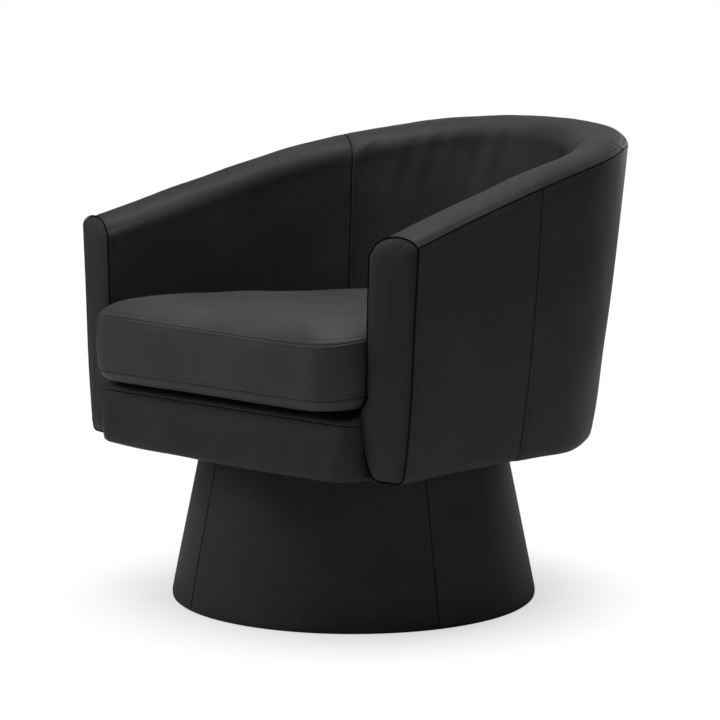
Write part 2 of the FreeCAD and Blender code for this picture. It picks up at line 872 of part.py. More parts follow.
def nosed_board(name, level, thickness, inset, step=s.board_step_place, margin=ZERO):
    """A board with the shell's plan, stepped back under the arm fronts."""
    body = new_body(name)
    outline = tub_outline(body, f"{name}_outline", level, inset, -step)
    pad = body.newObject("PartDesign::Pad", f"{name}_pad")
    pad.Profile = outline
    bind(pad, "Length", thickness)
    nose = new_sketch(body, f"{name}_nose_outline", "XY_Plane", level)
    reach = nose_reach - margin
    front_edge = -s.board_nose_place + margin
    back = -step + thickness
    polygon(nose, [(-reach, front_edge), (reach, front_edge), (reach, back), (-reach, back)])
    front = body.newObject("PartDesign::Pad", f"{name}_nose")
    front.Profile = nose
    bind(front, "Length", thickness)
    body.Tip = front
    return body


def board_screws():
    screws = []
    for x, y, _ in block_places():
        screws.append((x, y, board_level, 1))
    return screws


def block_places():
    """Places of the blocks between the seat board and the ring."""
    middle = pad_wall_inset + s.ring_width / 2
    radius = shell_radius(s.ring_level) - middle
    centre = shell_centre(s.ring_level)
    places = []
    for turn in (s.block_turn, 180 - s.block_turn):
        places.append((radius * cosine(turn), centre + radius * sine(turn), turn))
    places.append((ZERO, centre + radius, as_size(90)))
    slope = sine(s.arm_splay) / cosine(s.arm_splay)
    for y in (centre, -s.block_front_place):
        arm_x = radius / cosine(s.arm_splay) + (centre - y) * slope
        for side in (1, -1):
            places.append((arm_x * side, y, ZERO))
    return places


def make_seat_board():
    board = nosed_board("SeatBoardBlank", board_level, s.seat_board_thickness, frame_inset)
    round_edges(board, "SeatBoard_foot_round", s.shell_edge_round - frame_inset,
                constant(frame_inset.value), constant(board_level.value))
    holes = [(x, y, s.tee_nut_radius, board_level, s.seat_board_thickness)
             for x, y in corner_places(s.plate_screw_place)]
    holes.append((ZERO, ZERO, s.board_hole_radius, board_level, s.seat_board_thickness))
    drilled_board = drilled("SeatBoardDrilled", board, holes)
    room = screw_room("BoardScrewRoom", board_screws(), s.fit_gap)
    keep(cut("SeatBoard", drilled_board, room), "seat_board")
    blocks = []
    for number, (x, y, turn) in enumerate(block_places()):
        blocks.append(centred_box(f"RingBlock{number}", s.block_side, s.block_side,
                                  s.ring_level - board_top, x, y, board_top, turn))
    keep(cut("RingBlocks", group("RingBlockBlanks", blocks), room), "ring_blocks")
    screws = [wood_screw(f"BoardScrew{number}", *screw) for number, screw in enumerate(board_screws())]
    keep(group("BoardScrews", screws), "board_screws")


def make_ring():
    """Plywood ring that carries the springs, and the front rail below it."""
    body = nosed_board("SeatRing", s.ring_level, s.ring_thickness, pad_wall_inset)
    front = -s.board_nose_place + s.ring_front_width
    opening = tub_outline(body, "SeatRing_opening", s.ring_level, pad_wall_inset + s.ring_width, front)
    pocket = body.newObject("PartDesign::Pocket", "SeatRing_pocket")
    pocket.Profile = opening
    pocket.Reversed = True
    bind(pocket, "Length", s.ring_thickness)
    body.Tip = pocket
    keep(body, "seat_ring")
    reach = nose_reach
    keep(box("FrontRail", reach * 2, s.front_rail_thickness, s.ring_level - board_top,
             -reach, -s.board_nose_place, board_top), "front_rail")


def spring_rows():
    """Place across the seat, and the two ends, of each spring."""
    radius = shell_radius(s.ring_level) - pad_wall_inset - s.ring_width
    centre = shell_centre(s.ring_level)
    front = -s.board_nose_place + s.ring_front_width - s.spring_overlap
    middle = (s.spring_count - 1) / 2
    rows = []
    for number in range(int(s.spring_count.value)):
        x = s.spring_spacing * (number - middle)
        back = centre + root(radius * radius - x * x) + s.spring_overlap
        rows.append((x, front, back))
    return rows


def spring_shape(x, front, back):
    """A wire that winds from side to side between two ends, with a half turn at each side."""
    level = (ring_top + gap + s.spring_wire_radius).value
    half_leg = s.spring_leg.value / 2
    loops = round((back - front) / (2 * s.spring_loop_radius.value))
    radius = (back - front) / loops / 2
    edges = []
    for number in range(loops + 1):
        side = 1 if number % 2 == 0 else -1
        y = front + number * radius * 2
        start = Vector(x - side * half_leg, y, level)
        end = Vector(x + side * half_leg, y, level)
        edges.append(Part.LineSegment(start, end).toShape())
        if number < loops:
            middle = end + Vector(side * radius, radius, 0)
            edges.append(Part.Arc(end, middle, end + Vector(0, radius * 2, 0)).toShape())
    start = Vector(x - half_leg, front, level)
    ring = Part.Circle(start, Vector(1, 0, 0), s.spring_wire_radius.value).toShape()
    return Part.Wire(edges).makePipeShell([Part.Wire([ring])], True, False)


clip_room = s.spring_wire_radius * 2 + gap + s.fit_gap
clip_top = ring_top + clip_room + s.clip_metal


def make_springs():
    """Sinuous springs from the front of the ring to its back, and the clips over their ends."""
    springs = [spring_shape(x.value, front.value, back.value) for x, front, back in spring_rows()]
    feature = doc.addObject("Part::Feature", "SeatSprings")
    feature.Shape = Part.Compound(springs)
    keep(feature, "seat_springs")
    room = (s.spring_wire_radius + s.fit_gap) * 2
    width = room + s.clip_metal * 2
    clips = []
    for number, (x, front, back) in enumerate(spring_rows()):
        for end, y in (("Front", front), ("Back", back)):
            name = f"Clip{number}{end}"
            saddle = centred_box(f"{name}Saddle", s.clip_length, width, clip_top - ring_top, x, y, ring_top)
            hollow = centred_box(f"{name}Hollow", s.clip_length * 2, room, clip_room + gap,
                                 x, y, ring_top - gap)
            clips.append(cut(name, saddle, hollow))
    keep(group("SpringClips", clips), "spring_clips")


# Frame of the shell

frame_top_drop = s.crest_foam
rail_under_drop = frame_top_drop + s.top_rail_thickness
post_top_drop = rail_under_drop + gap
post_start = cover + gap + s.facing_foam + gap
frame_start = post_start + s.arm_post_thickness + gap


def make_arm_posts(clear_form):
    """Shaped plywood post at each arm front, from the seat board's side up to the top edge."""
    for label, side in (("arm_post_right", 1), ("arm_post_left", -1)):
        wall = wall_body(f"{label}_wall", constant(frame_inset), constant(pad_wall_inset - gap),
                         board_level, frame_top_drop)
        slab = facing_slab(f"{label}_slab", side, post_start, s.arm_post_thickness)
        keep(common(label.title(), common(f"{label}_cut", wall, slab), clear_form), label)


def make_top_rail():
    """Curved rail that slopes down both arms and joins all posts."""
    wall = wall_body("TopRailWall", constant(frame_inset), constant(pad_wall_inset - gap),
                     None, frame_top_drop, rail_under_drop)
    keep(behind_front("TopRail", wall, frame_start), "top_rail")


def make_boards(clear_form):
    """Thin bent boards: one under the outer leather, one behind the inner padding."""
    outer = wall_body("OuterBoardWall", constant(cover + gap), constant(frame_inset - gap),
                      board_top + gap, frame_top_drop)
    rounded = common("OuterBoardRounded", outer, clear_form)
    keep(behind_front("OuterBoard", rounded, post_start), "outer_board")
    inner = wall_body("InnerBoardWall", constant(inner_board_inset), constant(pad_wall_inset - gap),
                      board_top + gap, post_top_drop)
    keep(behind_front("InnerBoard", inner, frame_start), "inner_board")


def make_posts():
    """Upright posts inside the arms and the back, cut to the wall's own lean."""
    zone = wall_body("PostZone", constant(frame_inset), constant(inner_board_inset - gap),
                     board_top + gap, post_top_drop)
    height = s.shell_high_level
    depth = s.wall_high_thickness * 4
    side_boxes = []
    for side in (1, -1):
        x = shell_radius(s.shell_high_level) * side
        side_boxes.append(centred_box(f"SidePostBox{side}", depth, s.post_width, height,
                                      x, s.side_post_place, ZERO))
    keep(common("SidePosts", zone, fuse("SidePostBoxes", side_boxes)), "side_posts")
    back_boxes = []
    centre = shell_centre(s.shell_high_level)
    for number, turn in enumerate((90 - s.back_post_turn, as_size(90), 90 + s.back_post_turn)):
        radius = shell_radius(s.shell_high_level)
        back_boxes.append(centred_box(f"BackPostBox{number}", depth, s.post_width, height,
                                      radius * cosine(turn), centre + radius * sine(turn), ZERO, turn))
    keep(common("BackPosts", zone, fuse("BackPostBoxes", back_boxes)), "back_posts")


# Padding and leather of the shell

def seat_side_box(name, top):
    """Everything below a level, to cut padding and leather off above the ring."""
    side = s.shell_high_radius * 4
    return centred_box(name, side, side, top, ZERO, ZERO, ZERO)


def make_padding(foam_form):
    """Foam over the top edge and down the inside of arms and back, and on the arm fronts."""
    frame_zone = wall_body("FrameZone", constant(-s.overrun), constant(pad_wall_inset),
                           s.shell_low_level - s.overrun, frame_top_drop - gap)
    padding = cut("PaddingAboveFrame", foam_form, frame_zone)
    padding = cut("PaddingAboveRing", padding, seat_side_box("PaddingFloor", ring_top + gap))
    keep(behind_front("InnerFoam", padding, post_start), "inner_foam")
    for label, side in (("facing_foam_right", 1), ("facing_foam_left", -1)):
        slab = facing_slab(f"{label}_slab", side, cover + gap, s.facing_foam)
        keep(common(f"{label}_cut", foam_form, slab), label)


def side_zone(name, side, seam):
    """Room of one side panel, ahead of its seam."""
    length = s.shell_high_radius * 2
    width = s.shell_high_radius * 4
    x = length / 2 * side
    return centred_box(name, length, width, s.shell_high_level * 2, x, seam - width / 2, ZERO)


def back_zone(name, seam):
    width = s.shell_high_radius * 4
    return centred_box(name, width, width, s.shell_high_level * 2, ZERO, seam + width / 2, ZERO)


def make_leather(cover_form, foam_form):
    """Three panels outside, three panels inside that wrap over the top, and two arm fronts."""
    whole = cut("LeatherShell", cover_form, foam_form)
    behind = behind_front("LeatherBehindFacing", whole, cover + gap)
    seam_zone = wall_body("SeamZone", constant(-s.overrun), constant(s.seam_band),
                          s.shell_low_level - s.overrun, s.seam_drop)
    outer = common("OuterLeather", behind, seam_zone)
    inner = cut("InnerLeather", cut("InnerAndTop", behind, seam_zone),
                seat_side_box("LeatherFloor", ring_top + gap))
    for kind, leather, seam in (("outer", outer, s.outer_seam_place), ("inner", inner, s.inner_seam_place)):
        for name, side in (("right", 1), ("left", -1)):
            label = f"{kind}_cover_{name}"
            keep(common(f"{label}_cut", leather, side_zone(f"{label}_zone", side, seam)), label)
        label = f"{kind}_cover_back"
        keep(common(f"{label}_cut", leather, back_zone(f"{label}_zone", seam)), label)
    for label, side in (("facing_cover_right", 1), ("facing_cover_left", -1)):
        slab = facing_slab(f"{label}_slab", side, ZERO, cover)
        keep(common(f"{label}_cut", cover_form, slab), label)


# Deck and front panel

deck_pad_level = clip_top + gap
deck_cloth_level = deck_pad_level + s.deck_pad_thickness + gap
deck_top = deck_cloth_level + s.deck_cloth_thickness


deck_front = s.board_nose_place - s.front_return - gap


def seat_plan(name, level, thickness, inset, front):
    """A flat layer with the plan of the space between the arms."""
    body = new_body(name)
    outline = tub_outline(body, f"{name}_outline", level, wall_thickness(level) + inset, -front)
    pad = body.newObject("PartDesign::Pad", f"{name}_pad")
    pad.Profile = outline
    bind(pad, "Length", thickness)
    body.Tip = pad
    return body


def make_deck():
    keep(seat_plan("DeckPad", deck_pad_level, s.deck_pad_thickness, gap * 2, deck_front), "deck_pad")
    keep(seat_plan("DeckCloth", deck_cloth_level, s.deck_cloth_thickness, gap * 2, deck_front),
         "deck_cloth")


def round_ended_plan(name, reach, front, back, corner):
    """An upright block with its two front corners rounded."""
    body = new_body(name)
    sketch = new_sketch(body, f"{name}_outline", "XY_Plane")
    inner = reach - corner
    behind = front + corner
    chain = [
        sketch.addGeometry(Part.LineSegment(point(-inner, front), point(inner, front)), False),
        arc_between(sketch, (inner, front), (reach, behind), (inner, behind)),
        sketch.addGeometry(Part.LineSegment(point(reach, behind), point(reach, back)), False),
        sketch.addGeometry(Part.LineSegment(point(reach, back), point(-reach, back)), False),
        sketch.addGeometry(Part.LineSegment(point(-reach, back), point(-reach, behind)), False),
        arc_between(sketch, (-reach, behind), (-inner, front), (-inner, behind)),
    ]
    for number, edge in enumerate(chain):
        following = chain[(number + 1) % len(chain)]
        sketch.addConstraint(Sketcher.Constraint("Coincident", edge, 2, following, 1))
    for number, end, corner_point in ((0, 1, (-inner, front)), (0, 2, (inner, front)),
                                      (2, 1, (reach, behind)), (3, 1, (reach, back)),
                                      (4, 1, (-reach, back)), (5, 1, (-reach, behind))):
        pin_point(sketch, chain[number], end, *corner_point)
    for number in (1, 5):
        index = sketch.addConstraint(Sketcher.Constraint("Radius", chain[number], corner.value))
        sketch.setExpression(f"Constraints[{index}]", corner.text)
    pad = body.newObject("PartDesign::Pad", f"{name}_pad")
    pad.Profile = sketch
    bind(pad, "Length", deck_top)
    body.Tip = pad
    return body


def front_form(name, skin):
    """Bulged panel that caps the board's nose and slopes up to the deck, less a skin all round."""
    back = -s.board_nose_place + s.front_return - skin
    lip = -s.board_nose_place + s.front_return - s.front_lip_width
    foot = s.shell_low_level + skin
    top = deck_top - skin
    seam = s.front_seam_level - skin
    reach = front_reach - skin
    foot_front = -s.front_foot_place + skin
    seam_front = -s.front_seam_place + skin
    half = (seam - foot) / 2
    step = (seam_front - foot_front) / 2
    radius = s.front_bow
    chord = root(half * half + step * step)
    sag = root(radius * radius - chord * chord)
    centre_y = foot_front + step + sag * half / chord
    centre_z = foot + half - sag * step / chord
    body = new_body(name)
    sketch = new_sketch(body, f"{name}_profile", "YZ_Plane")
    arc = arc_between(sketch, (seam_front, seam), (foot_front, foot), (centre_y, centre_z))
    corners = [(foot_front, foot), (back, foot), (back, top), (lip, top), (seam_front, seam)]
    chain = [arc]
    for start, end in zip(corners, corners[1:]):
        chain.append(sketch.addGeometry(Part.LineSegment(point(*start), point(*end)), False))
    for number, edge in enumerate(chain):
        following = chain[(number + 1) % len(chain)]
        sketch.addConstraint(Sketcher.Constraint("Coincident", edge, 2, following, 1))
    for line, corner in zip(chain[1:], corners):
        pin_point(sketch, line, 1, *corner)
    pin_point(sketch, chain[-1], 2, *corners[-1])
    number = sketch.addConstraint(Sketcher.Constraint("Radius", arc, radius.value))
    sketch.setExpression(f"Constraints[{number}]", radius.text)
    pad = body.newObject("PartDesign::Pad", f"{name}_pad")
    pad.Profile = sketch
    pad.SideType = "Symmetric"
    bind(pad, "Length", reach * 2)
    body.Tip = pad
    plan = round_ended_plan(f"{name}Plan", reach, centre_y - radius, back, s.front_corner_round - skin)
    capped = common(f"{name}_rounded", body, plan)
    reach = nose_reach + gap
    nose = box(f"{name}_nose", reach * 2, s.shell_front, ring_top + gap,
               -reach, -s.board_nose_place - gap, ZERO)
    return cut(f"{name}_cap", capped, nose)


def make_front():
    keep(front_form("FrontFoam", cover + gap), "front_foam")
    keep(cut("FrontCover", front_form("FrontOuter", ZERO), front_form("FrontInner", cover)), "front_cover")


def make_dust_cover():
    """Black cloth under the seat board, open round the swivel."""
    level = board_level - s.dust_cover_thickness
    body = nosed_board("DustCover", level, s.dust_cover_thickness, s.dust_cover_inset,
                       s.dust_cover_step_place, s.dust_cover_margin)
    sketch = new_sketch(body, "DustCover_opening", "XY_Plane", level)
    circle(sketch, ZERO, ZERO, s.dust_cover_hole)
    pocket = body.newObject("PartDesign::Pocket", "DustCover_pocket")
    pocket.Profile = sketch
    pocket.Reversed = True
    bind(pocket, "Length", s.dust_cover_thickness)
    body.Tip = pocket
    keep(body, "dust_cover")


# Seat cushion

cushion_foot = deck_top + gap


def inner_radius(level):
    return shell_radius(level) - wall_thickness(level)


def cushion_outline(body, name, level, inset):
    """Plan of the cushion: a straight front with round corners, sides along the arms, a round back."""
    room = least(inner_radius(s.cushion_low_seam), inner_radius(s.cushion_crown))
    radius = room - s.cushion_gap - inset
    centre = shell_centre(s.cushion_low_seam)
    front = -s.cushion_front_place + inset
    corner = s.cushion_corner_radius
    arm_x = radius * cosine(s.arm_splay)
    arm_y = centre + radius * sine(s.arm_splay)
    slope = sine(s.arm_splay) / cosine(s.arm_splay)
    corner_y = front + corner
    # the corner arc touches the side line and the front line
    side_x = arm_x + (arm_y - corner_y) * slope - corner / cosine(s.arm_splay)
    end_x = side_x + corner * cosine(s.arm_splay)
    end_y = corner_y + corner * sine(s.arm_splay)
    sketch = new_sketch(body, name, "XY_Plane", level)
    back = centre + radius
    edges = [
        Part.LineSegment(point(-side_x, front), point(side_x, front)),
        None,
        Part.LineSegment(point(end_x, end_y), point(arm_x, arm_y)),
        None,
        None,
        Part.LineSegment(point(-arm_x, arm_y), point(-end_x, end_y)),
        None,
    ]
    arcs = {
        1: ((side_x, front), (end_x, end_y), (side_x, corner_y)),
        3: ((arm_x, arm_y), (ZERO, back), (ZERO, centre)),
        4: ((ZERO, back), (-arm_x, arm_y), (ZERO, centre)),
        6: ((-end_x, end_y), (-side_x, front), (-side_x, corner_y)),
    }
    chain = []
    for number, edge in enumerate(edges):
        if edge is None:
            chain.append(arc_between(sketch, *arcs[number]))
        else:
            chain.append(sketch.addGeometry(edge, False))
    for number, edge in enumerate(chain):
        following = chain[(number + 1) % len(chain)]
        sketch.addConstraint(Sketcher.Constraint("Coincident", edge, 2, following, 1))
    pins = [(0, 1, (-side_x, front)), (0, 2, (side_x, front)), (2, 1, (end_x, end_y)),
            (2, 2, (arm_x, arm_y)), (5, 1, (-arm_x, arm_y)), (5, 2, (-end_x, end_y)),
            (3, 3, (ZERO, centre))]
    for number, end, corner_point in pins:
        pin_point(sketch, chain[number], end, *corner_point)
    sketch.addConstraint(Sketcher.Constraint("PointOnObject", chain[3], 2, -2))
    sketch.addConstraint(Sketcher.Constraint("PointOnObject", chain[4], 3, -2))
    for number, across in ((1, side_x), (6, -side_x)):
        index = sketch.addConstraint(
            Sketcher.Constraint("DistanceX", -1, 1, chain[number], 3, across.value))
        sketch.setExpression(f"Constraints[{index}]", across.text)
    return sketch


def cushion_stack(name, layers, ruled):
    """A solid through the cushion's outline at several levels."""
    body = new_body(name)
    sketches = [cushion_outline(body, f"{name}_{number}", level, inset)
                for number, (level, inset) in enumerate(layers)]
    loft = body.newObject("PartDesign::AdditiveLoft", f"{name}_loft")
    loft.Profile = sketches[0]
    loft.Sections = sketches[1:]
    loft.Ruled = ruled
    body.Tip = loft
    return body


def cushion_layers(skin):
    """Levels and insets of the cushion from its underside to its crown, less a skin."""
    bulge = s.cushion_bulge
    low, top = s.cushion_low_seam, s.cushion_top_seam
    middle = (low + top) / 2
    rise = s.cushion_crown - top - skin
    layers = [
        (cushion_foot + skin, bulge + s.cushion_edge_round + skin),
        (low, bulge + skin),
        (middle, skin),
        (top, bulge + skin),
    ]
    for rise_share, step_share in CROWN_SHARES:
        layers.append((top + rise * rise_share, bulge + skin + s.cushion_crown_step * step_share))
    return layers


def make_cushion():
    """Foam core in a sewn cover: top and bottom panels and a boxing strip with a zip behind."""
    keep(cushion_stack("CushionFoam", cushion_layers(cover + gap), True), "cushion_foam")
    outer = cushion_stack("CushionOuter", cushion_layers(ZERO), True)
    inner = cushion_stack("CushionInner", cushion_layers(cover), True)
    skin = cut("CushionSkin", outer, inner)
    side = s.shell_high_radius * 4
    low, top = s.cushion_low_seam, s.cushion_top_seam
    below = centred_box("CushionBelow", side, side, low, ZERO, ZERO, ZERO)
    above = centred_box("CushionAbove", side, side, low, ZERO, ZERO, top)
    between = centred_box("CushionBetween", side, side, top - low, ZERO, ZERO, low)
    keep(common("CushionBottomPanel", skin, below), "cushion_bottom_panel")
    keep(common("CushionTopPanel", skin, above), "cushion_top_panel")
    boxing = common("CushionBoxingWhole", skin, between)
    opening = box("ZipOpening", s.zip_reach * 2, side, s.zip_height, -s.zip_reach, ZERO, s.zip_level)
    keep(cut("CushionBoxing", boxing, opening), "cushion_boxing")
    keep(common("CushionZip", boxing, opening), "cushion_zip")


def make_chair():
    make_base_cover()
    make_cone_layer("base_padding", "BasePadding", pad_inset, s.base_pad_thickness)
    make_cone_layer("base_wall", "BaseWall", wall_inset, s.base_wall_thickness)
    make_base_frame()
    make_base_felt()
    make_lower_plate()
    make_rivet()
    make_cage()
    make_upper_plate()
    make_seat_board()
    make_ring()
    make_springs()
    cover_form = padded_wall("CoverForm", ZERO)
    foam_form = padded_wall("FoamForm", cover)
    clear_form = padded_wall("ClearForm", cover + gap)
    make_arm_posts(clear_form)
    make_top_rail()
    make_boards(clear_form)
    make_posts()
    make_padding(clear_form)
    make_leather(cover_form, foam_form)
    make_deck()
    make_front()
    make_dust_cover()
    make_cushion()


def check_and_write():
    """Refuse to write anything while one object has failed, then write every piece."""
    doc.recompute()
    for obj in doc.Objects:
        if "Invalid" in obj.State or "Error" in obj.State:
            raise RuntimeError(f"{obj.Name} failed: {obj.State}")
    for obj in parts:
        if obj.Shape.isNull() or not obj.Shape.isValid() or not obj.Shape.Solids:
            raise RuntimeError(f"{obj.Label} has no sound shape")
    os.makedirs("parts", exist_ok=True)
    for obj in parts:
        obj.Shape.exportStep(f"parts/{obj.Label}.step")
        print(obj.Label, len(obj.Shape.Solids), round(obj.Shape.Volume))


make_chair()
check_and_write()
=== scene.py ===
import json
import math

import bmesh
import bpy
import numpy as np
from mathutils import Matrix, Vector


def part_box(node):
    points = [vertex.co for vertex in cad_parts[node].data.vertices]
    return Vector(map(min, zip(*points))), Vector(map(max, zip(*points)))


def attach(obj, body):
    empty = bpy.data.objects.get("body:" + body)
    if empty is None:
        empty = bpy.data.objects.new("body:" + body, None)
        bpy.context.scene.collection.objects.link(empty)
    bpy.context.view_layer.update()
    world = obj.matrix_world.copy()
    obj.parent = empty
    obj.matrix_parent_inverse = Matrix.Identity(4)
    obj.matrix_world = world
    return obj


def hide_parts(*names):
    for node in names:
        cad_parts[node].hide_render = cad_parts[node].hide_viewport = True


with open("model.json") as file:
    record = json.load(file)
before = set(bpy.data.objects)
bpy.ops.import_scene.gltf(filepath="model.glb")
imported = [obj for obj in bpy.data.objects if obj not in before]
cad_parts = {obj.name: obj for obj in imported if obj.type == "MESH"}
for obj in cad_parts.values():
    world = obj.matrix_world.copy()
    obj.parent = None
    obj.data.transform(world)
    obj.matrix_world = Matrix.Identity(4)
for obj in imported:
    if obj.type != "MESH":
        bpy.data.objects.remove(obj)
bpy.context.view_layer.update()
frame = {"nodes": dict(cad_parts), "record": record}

# Shell: plan and top edge, in millimetres
FOOT = 238
HIGH = 745
FOOT_RADIUS, RADIUS_GROWTH = 313, 30.5
FOOT_CENTRE, CENTRE_GROWTH = 66.8, 44.6
FOOT_WALL, WALL_GROWTH = 62, 22
SPLAY = math.radians(4.65)
PATH_RADIUS = 330
ARC = PATH_RADIUS * (math.pi - 2 * SPLAY)
# The plan is flatter at two corners behind: their turn, width and depth, and how the depth grows
PLAN_CORNER = (0.9, 0.34, 1.8, 1.7)
CREST = ((-243, 561.6), (407.5, 711), 5400)
CREST_LINE = 36
# Unevenness of the top edge: distance along the shell and height
SWAY = ((120, 0), (240, -2), (330, -3.5), (405, -3.5), (492, -2.5), (566, -1), (613, 2), (705, 4),
        (762, 3), (826, 1), (895, 0), (1050, -1), (1130, -2.5), (1260, -3), (1350, 0))
OUTER_DOME, INNER_DOME = 22, 30
INNER_DOME_POWER = 2 / 2.3
SEAM_DROP = 15
INNER_FOOT = 316
MIDDLE_LEVEL = 450
SHELL_SHEET = 1.2
FACING_POINT = (285, -243)
FACING_TURN = math.radians(10.4)
# The lower inner edge of the arm front, beside the front panel: places across and heights
FACING_FOOT = [(280.5, 352), (277, 345), (272, 336), (268.3, 329), (267.5, 322), (268, 310),
               (270.5, 293), (275.5, 272), (281.5, 254), (285, 247), (290, 241), (297, 238.3), (310, 238)]
FACING_RIM = 9
DECK_FRONT, UNDER_FRONT = -243.7, -250
SWIVEL_OPENING = 190

# Seams and stitches
STITCH_AWAY = 8
STITCH_STEP = 6.5
STITCH_LENGTH = 4.6
STITCH_RADIUS = 0.42
STITCH_PROFILE = [(-0.5, 0.0), (-0.44, 0.62), (-0.2, 1.0), (0.2, 1.0), (0.44, 0.62), (0.5, 0.0)]
THREAD_SIDES = 6
THREAD_TURNS = [2 * math.pi * k / THREAD_SIDES for k in range(THREAD_SIDES)]
SEAM_NEAR = [0, 0.5, 1.1, 1.8, 2.7, 3.8, 5.2, 6.7, 8, 9.3, 11, 14, 18, 24]
NEAR = SEAM_NEAR.index(STITCH_AWAY)

# Panel below the cushion
FRONT_REACH = 272.5
FRONT_LOW, FRONT_HEIGHT = 239, 72
FRONT_UNDER = [(246.0, 238.2), (260.0, 238.0), (-18.0, 237.4), (-9.0, 236.8), (-3.6, 237.4), (-0.6, 239.6)]
FRONT_LIP = [(269.4, 312.4), (269.2, 314.0), (268.0, 316.4), (265.4, 318.6), (260.0, 320.8),
             (253.0, 323.8), (246.0, 326.6), (241.0, 328.6)]

# Base
BASE_SEAMS = [math.radians(a) for a in (-104, -18, 72, 162)]
BASE_FOOT = [(234, 3.2), (252, 2.2), (262, 0.9), (269.5, 0.3), (272.8, 0.6), (274.6, 2.0), (275.2, 4.8),
             (275.1, 9)]
BASE_RADIUS, BASE_LEAN, BASE_SWELL = 276.8, 0.205, 0.8
BASE_TOP = [(231.2, 220), (229.6, 224.2), (226.6, 226.8), (220, 227.5), (205, 227.6), (188, 227.6)]
BASE_MIDDLE_RADIUS = 256

# Cushion
CUSHION_FRONT = -305
CUSHION_CORNER = 60
CUSHION_LEVELS = (329.4, 344.5, 424)
CUSHION_CROWN = 457
CUSHION_PLAN = 344
CUSHION_COUNT = 232
PUFF_FRAMES = 20
PUFF_MOST = 26
# Pull marks on the seat cushion by its front seam: place across, distance in, length, slant
PULLS = [(-172, 17, 26, 0.9), (-158, 15, 22, 0.8), (-150, 22, 16, 1.0), (-66, 22, 34, 0.7),
         (-44, 27, 28, 0.75), (-8, 25, 36, 0.6), (22, 20, 24, 0.65), (66, 24, 30, 0.7),
         (124, 22, 28, 0.5), (-228, 12, 14, 1.1), (178, 26, 34, 0.4), (212, 30, 26, 0.2)]
ZIP_SECTION = [(1.6, -5), (0.2, -4.4), (0, -2.2), (0.1, -1.6), (-0.9, -1.1), (-0.9, 1.1), (0.1, 1.6),
               (0, 2.2), (0.2, 4.4), (1.6, 5)]

# Camera and lamps, in metres and watts
CAMERA_PLACE = Vector((2.4275, -2.3467, 0.7773))
CAMERA_ANGLES = [math.radians(a) for a in (45.97 - 0.27, 7.35, 0.03)]
FOCAL_PIXELS, CENTRE_PIXELS, FRAME_PIXELS = 2258.7, (364.28, 368.9), 720
LAMPS = (("top_softbox", (0, 0, 2.6), (1.6, 1.6), 45), ("left_softbox", (-2.6, -1.6, 1.5), (1.6, 2.0), 9),
         ("front_softbox", (-1.0, -1.8, 2.1), (1.2, 1.2), 17),
         ("right_softbox", (2.8, 0.5, 1.2), (1.4, 1.6), 3.5),
         ("back_softbox", (-2.0, 2.4, 2.2), (1.6, 1.6), 3), ("rim_softbox", (-0.5, 3.0, 1.2), (1.4, 1.6), 20))
LAMP_AIM = Vector((0, 0, 0.4))
FLOOR_SIZE = 6.0


def share(z):
    """How far up the wall a height lies: 0 at the foot, 1 at its highest."""
    return (np.asarray(z, float) - FOOT) / (HIGH - FOOT)


def shell_radius(z):
    return FOOT_RADIUS + RADIUS_GROWTH * share(z)


def shell_centre(z):
    return FOOT_CENTRE + CENTRE_GROWTH * share(z)


def wall_thickness(z):
    return FOOT_WALL + WALL_GROWTH * share(z)


def hollow(z):
    """Radius and centre of the shell's inside at a height."""
    return float(shell_radius(z) - wall_thickness(z)), float(shell_centre(z))


def smooth(t):
    t = np.clip(t, 0, 1)
    return t * t * (3 - 2 * t)


def bell(x, width):
    """A hill of height 1 at 0."""
    return np.exp(-(x / width) ** 2)


def past_arc(s):
    """Distance ahead of the back's arc, along an arm's straight part."""
    return np.where(s < 0, -s, np.where(s > ARC, s - ARC, 0.0))


def plan_point(s, inset, z):
    """Plan place at a distance along the shell, a depth in its wall and a height."""
    corner, width, depth, growth = PLAN_CORNER
    radius = shell_radius(z) - inset
    phi = SPLAY + np.clip(s, 0, ARC) / PATH_RADIUS
    away = np.minimum(np.abs(phi - corner), np.abs(math.pi - corner - phi))
    radius = radius - (depth + growth * share(z)) * bell(away, width)
    over = past_arc(s)
    side = np.where(s > ARC, -1, 1)
    x = radius * np.cos(phi) + side * over * math.sin(SPLAY)
    y = shell_centre(z) + radius * np.sin(phi) - over * math.cos(SPLAY)
    return x, y


def arm_reach(inset, z):
    """Length of the arm's straight line from the back arc to the arm front's plane."""
    radius = shell_radius(z) - inset
    x = radius * math.cos(SPLAY) - FACING_POINT[0]
    y = shell_centre(z) + radius * math.sin(SPLAY) - FACING_POINT[1]
    mx, my = math.sin(FACING_TURN), -math.cos(FACING_TURN)
    slope = math.sin(SPLAY) * mx - math.cos(SPLAY) * my
    return -(x * mx + y * my) / slope


def crest_level(y):
    """Height of the top edge: one wide arc from arm to back, with a small rise behind."""
    (y0, z0), (y1, z1), radius = CREST
    half_y, half_z = (y1 - y0) / 2, (z1 - z0) / 2
    half = math.hypot(half_y, half_z)
    sag = math.sqrt(radius * radius - half * half)
    cy = y0 + half_y + sag * half_z / half
    cz = z0 + half_z - sag * half_y / half
    return cz + np.sqrt(radius * radius - (y - cy) ** 2) + 4 * smooth((y - 330) / 90)


def crest_sway(s):
    places, heights = zip(*SWAY)
    return sum(np.interp(s + shift, places, heights) for shift in (-40, -20, 0, 20, 40)) / 5


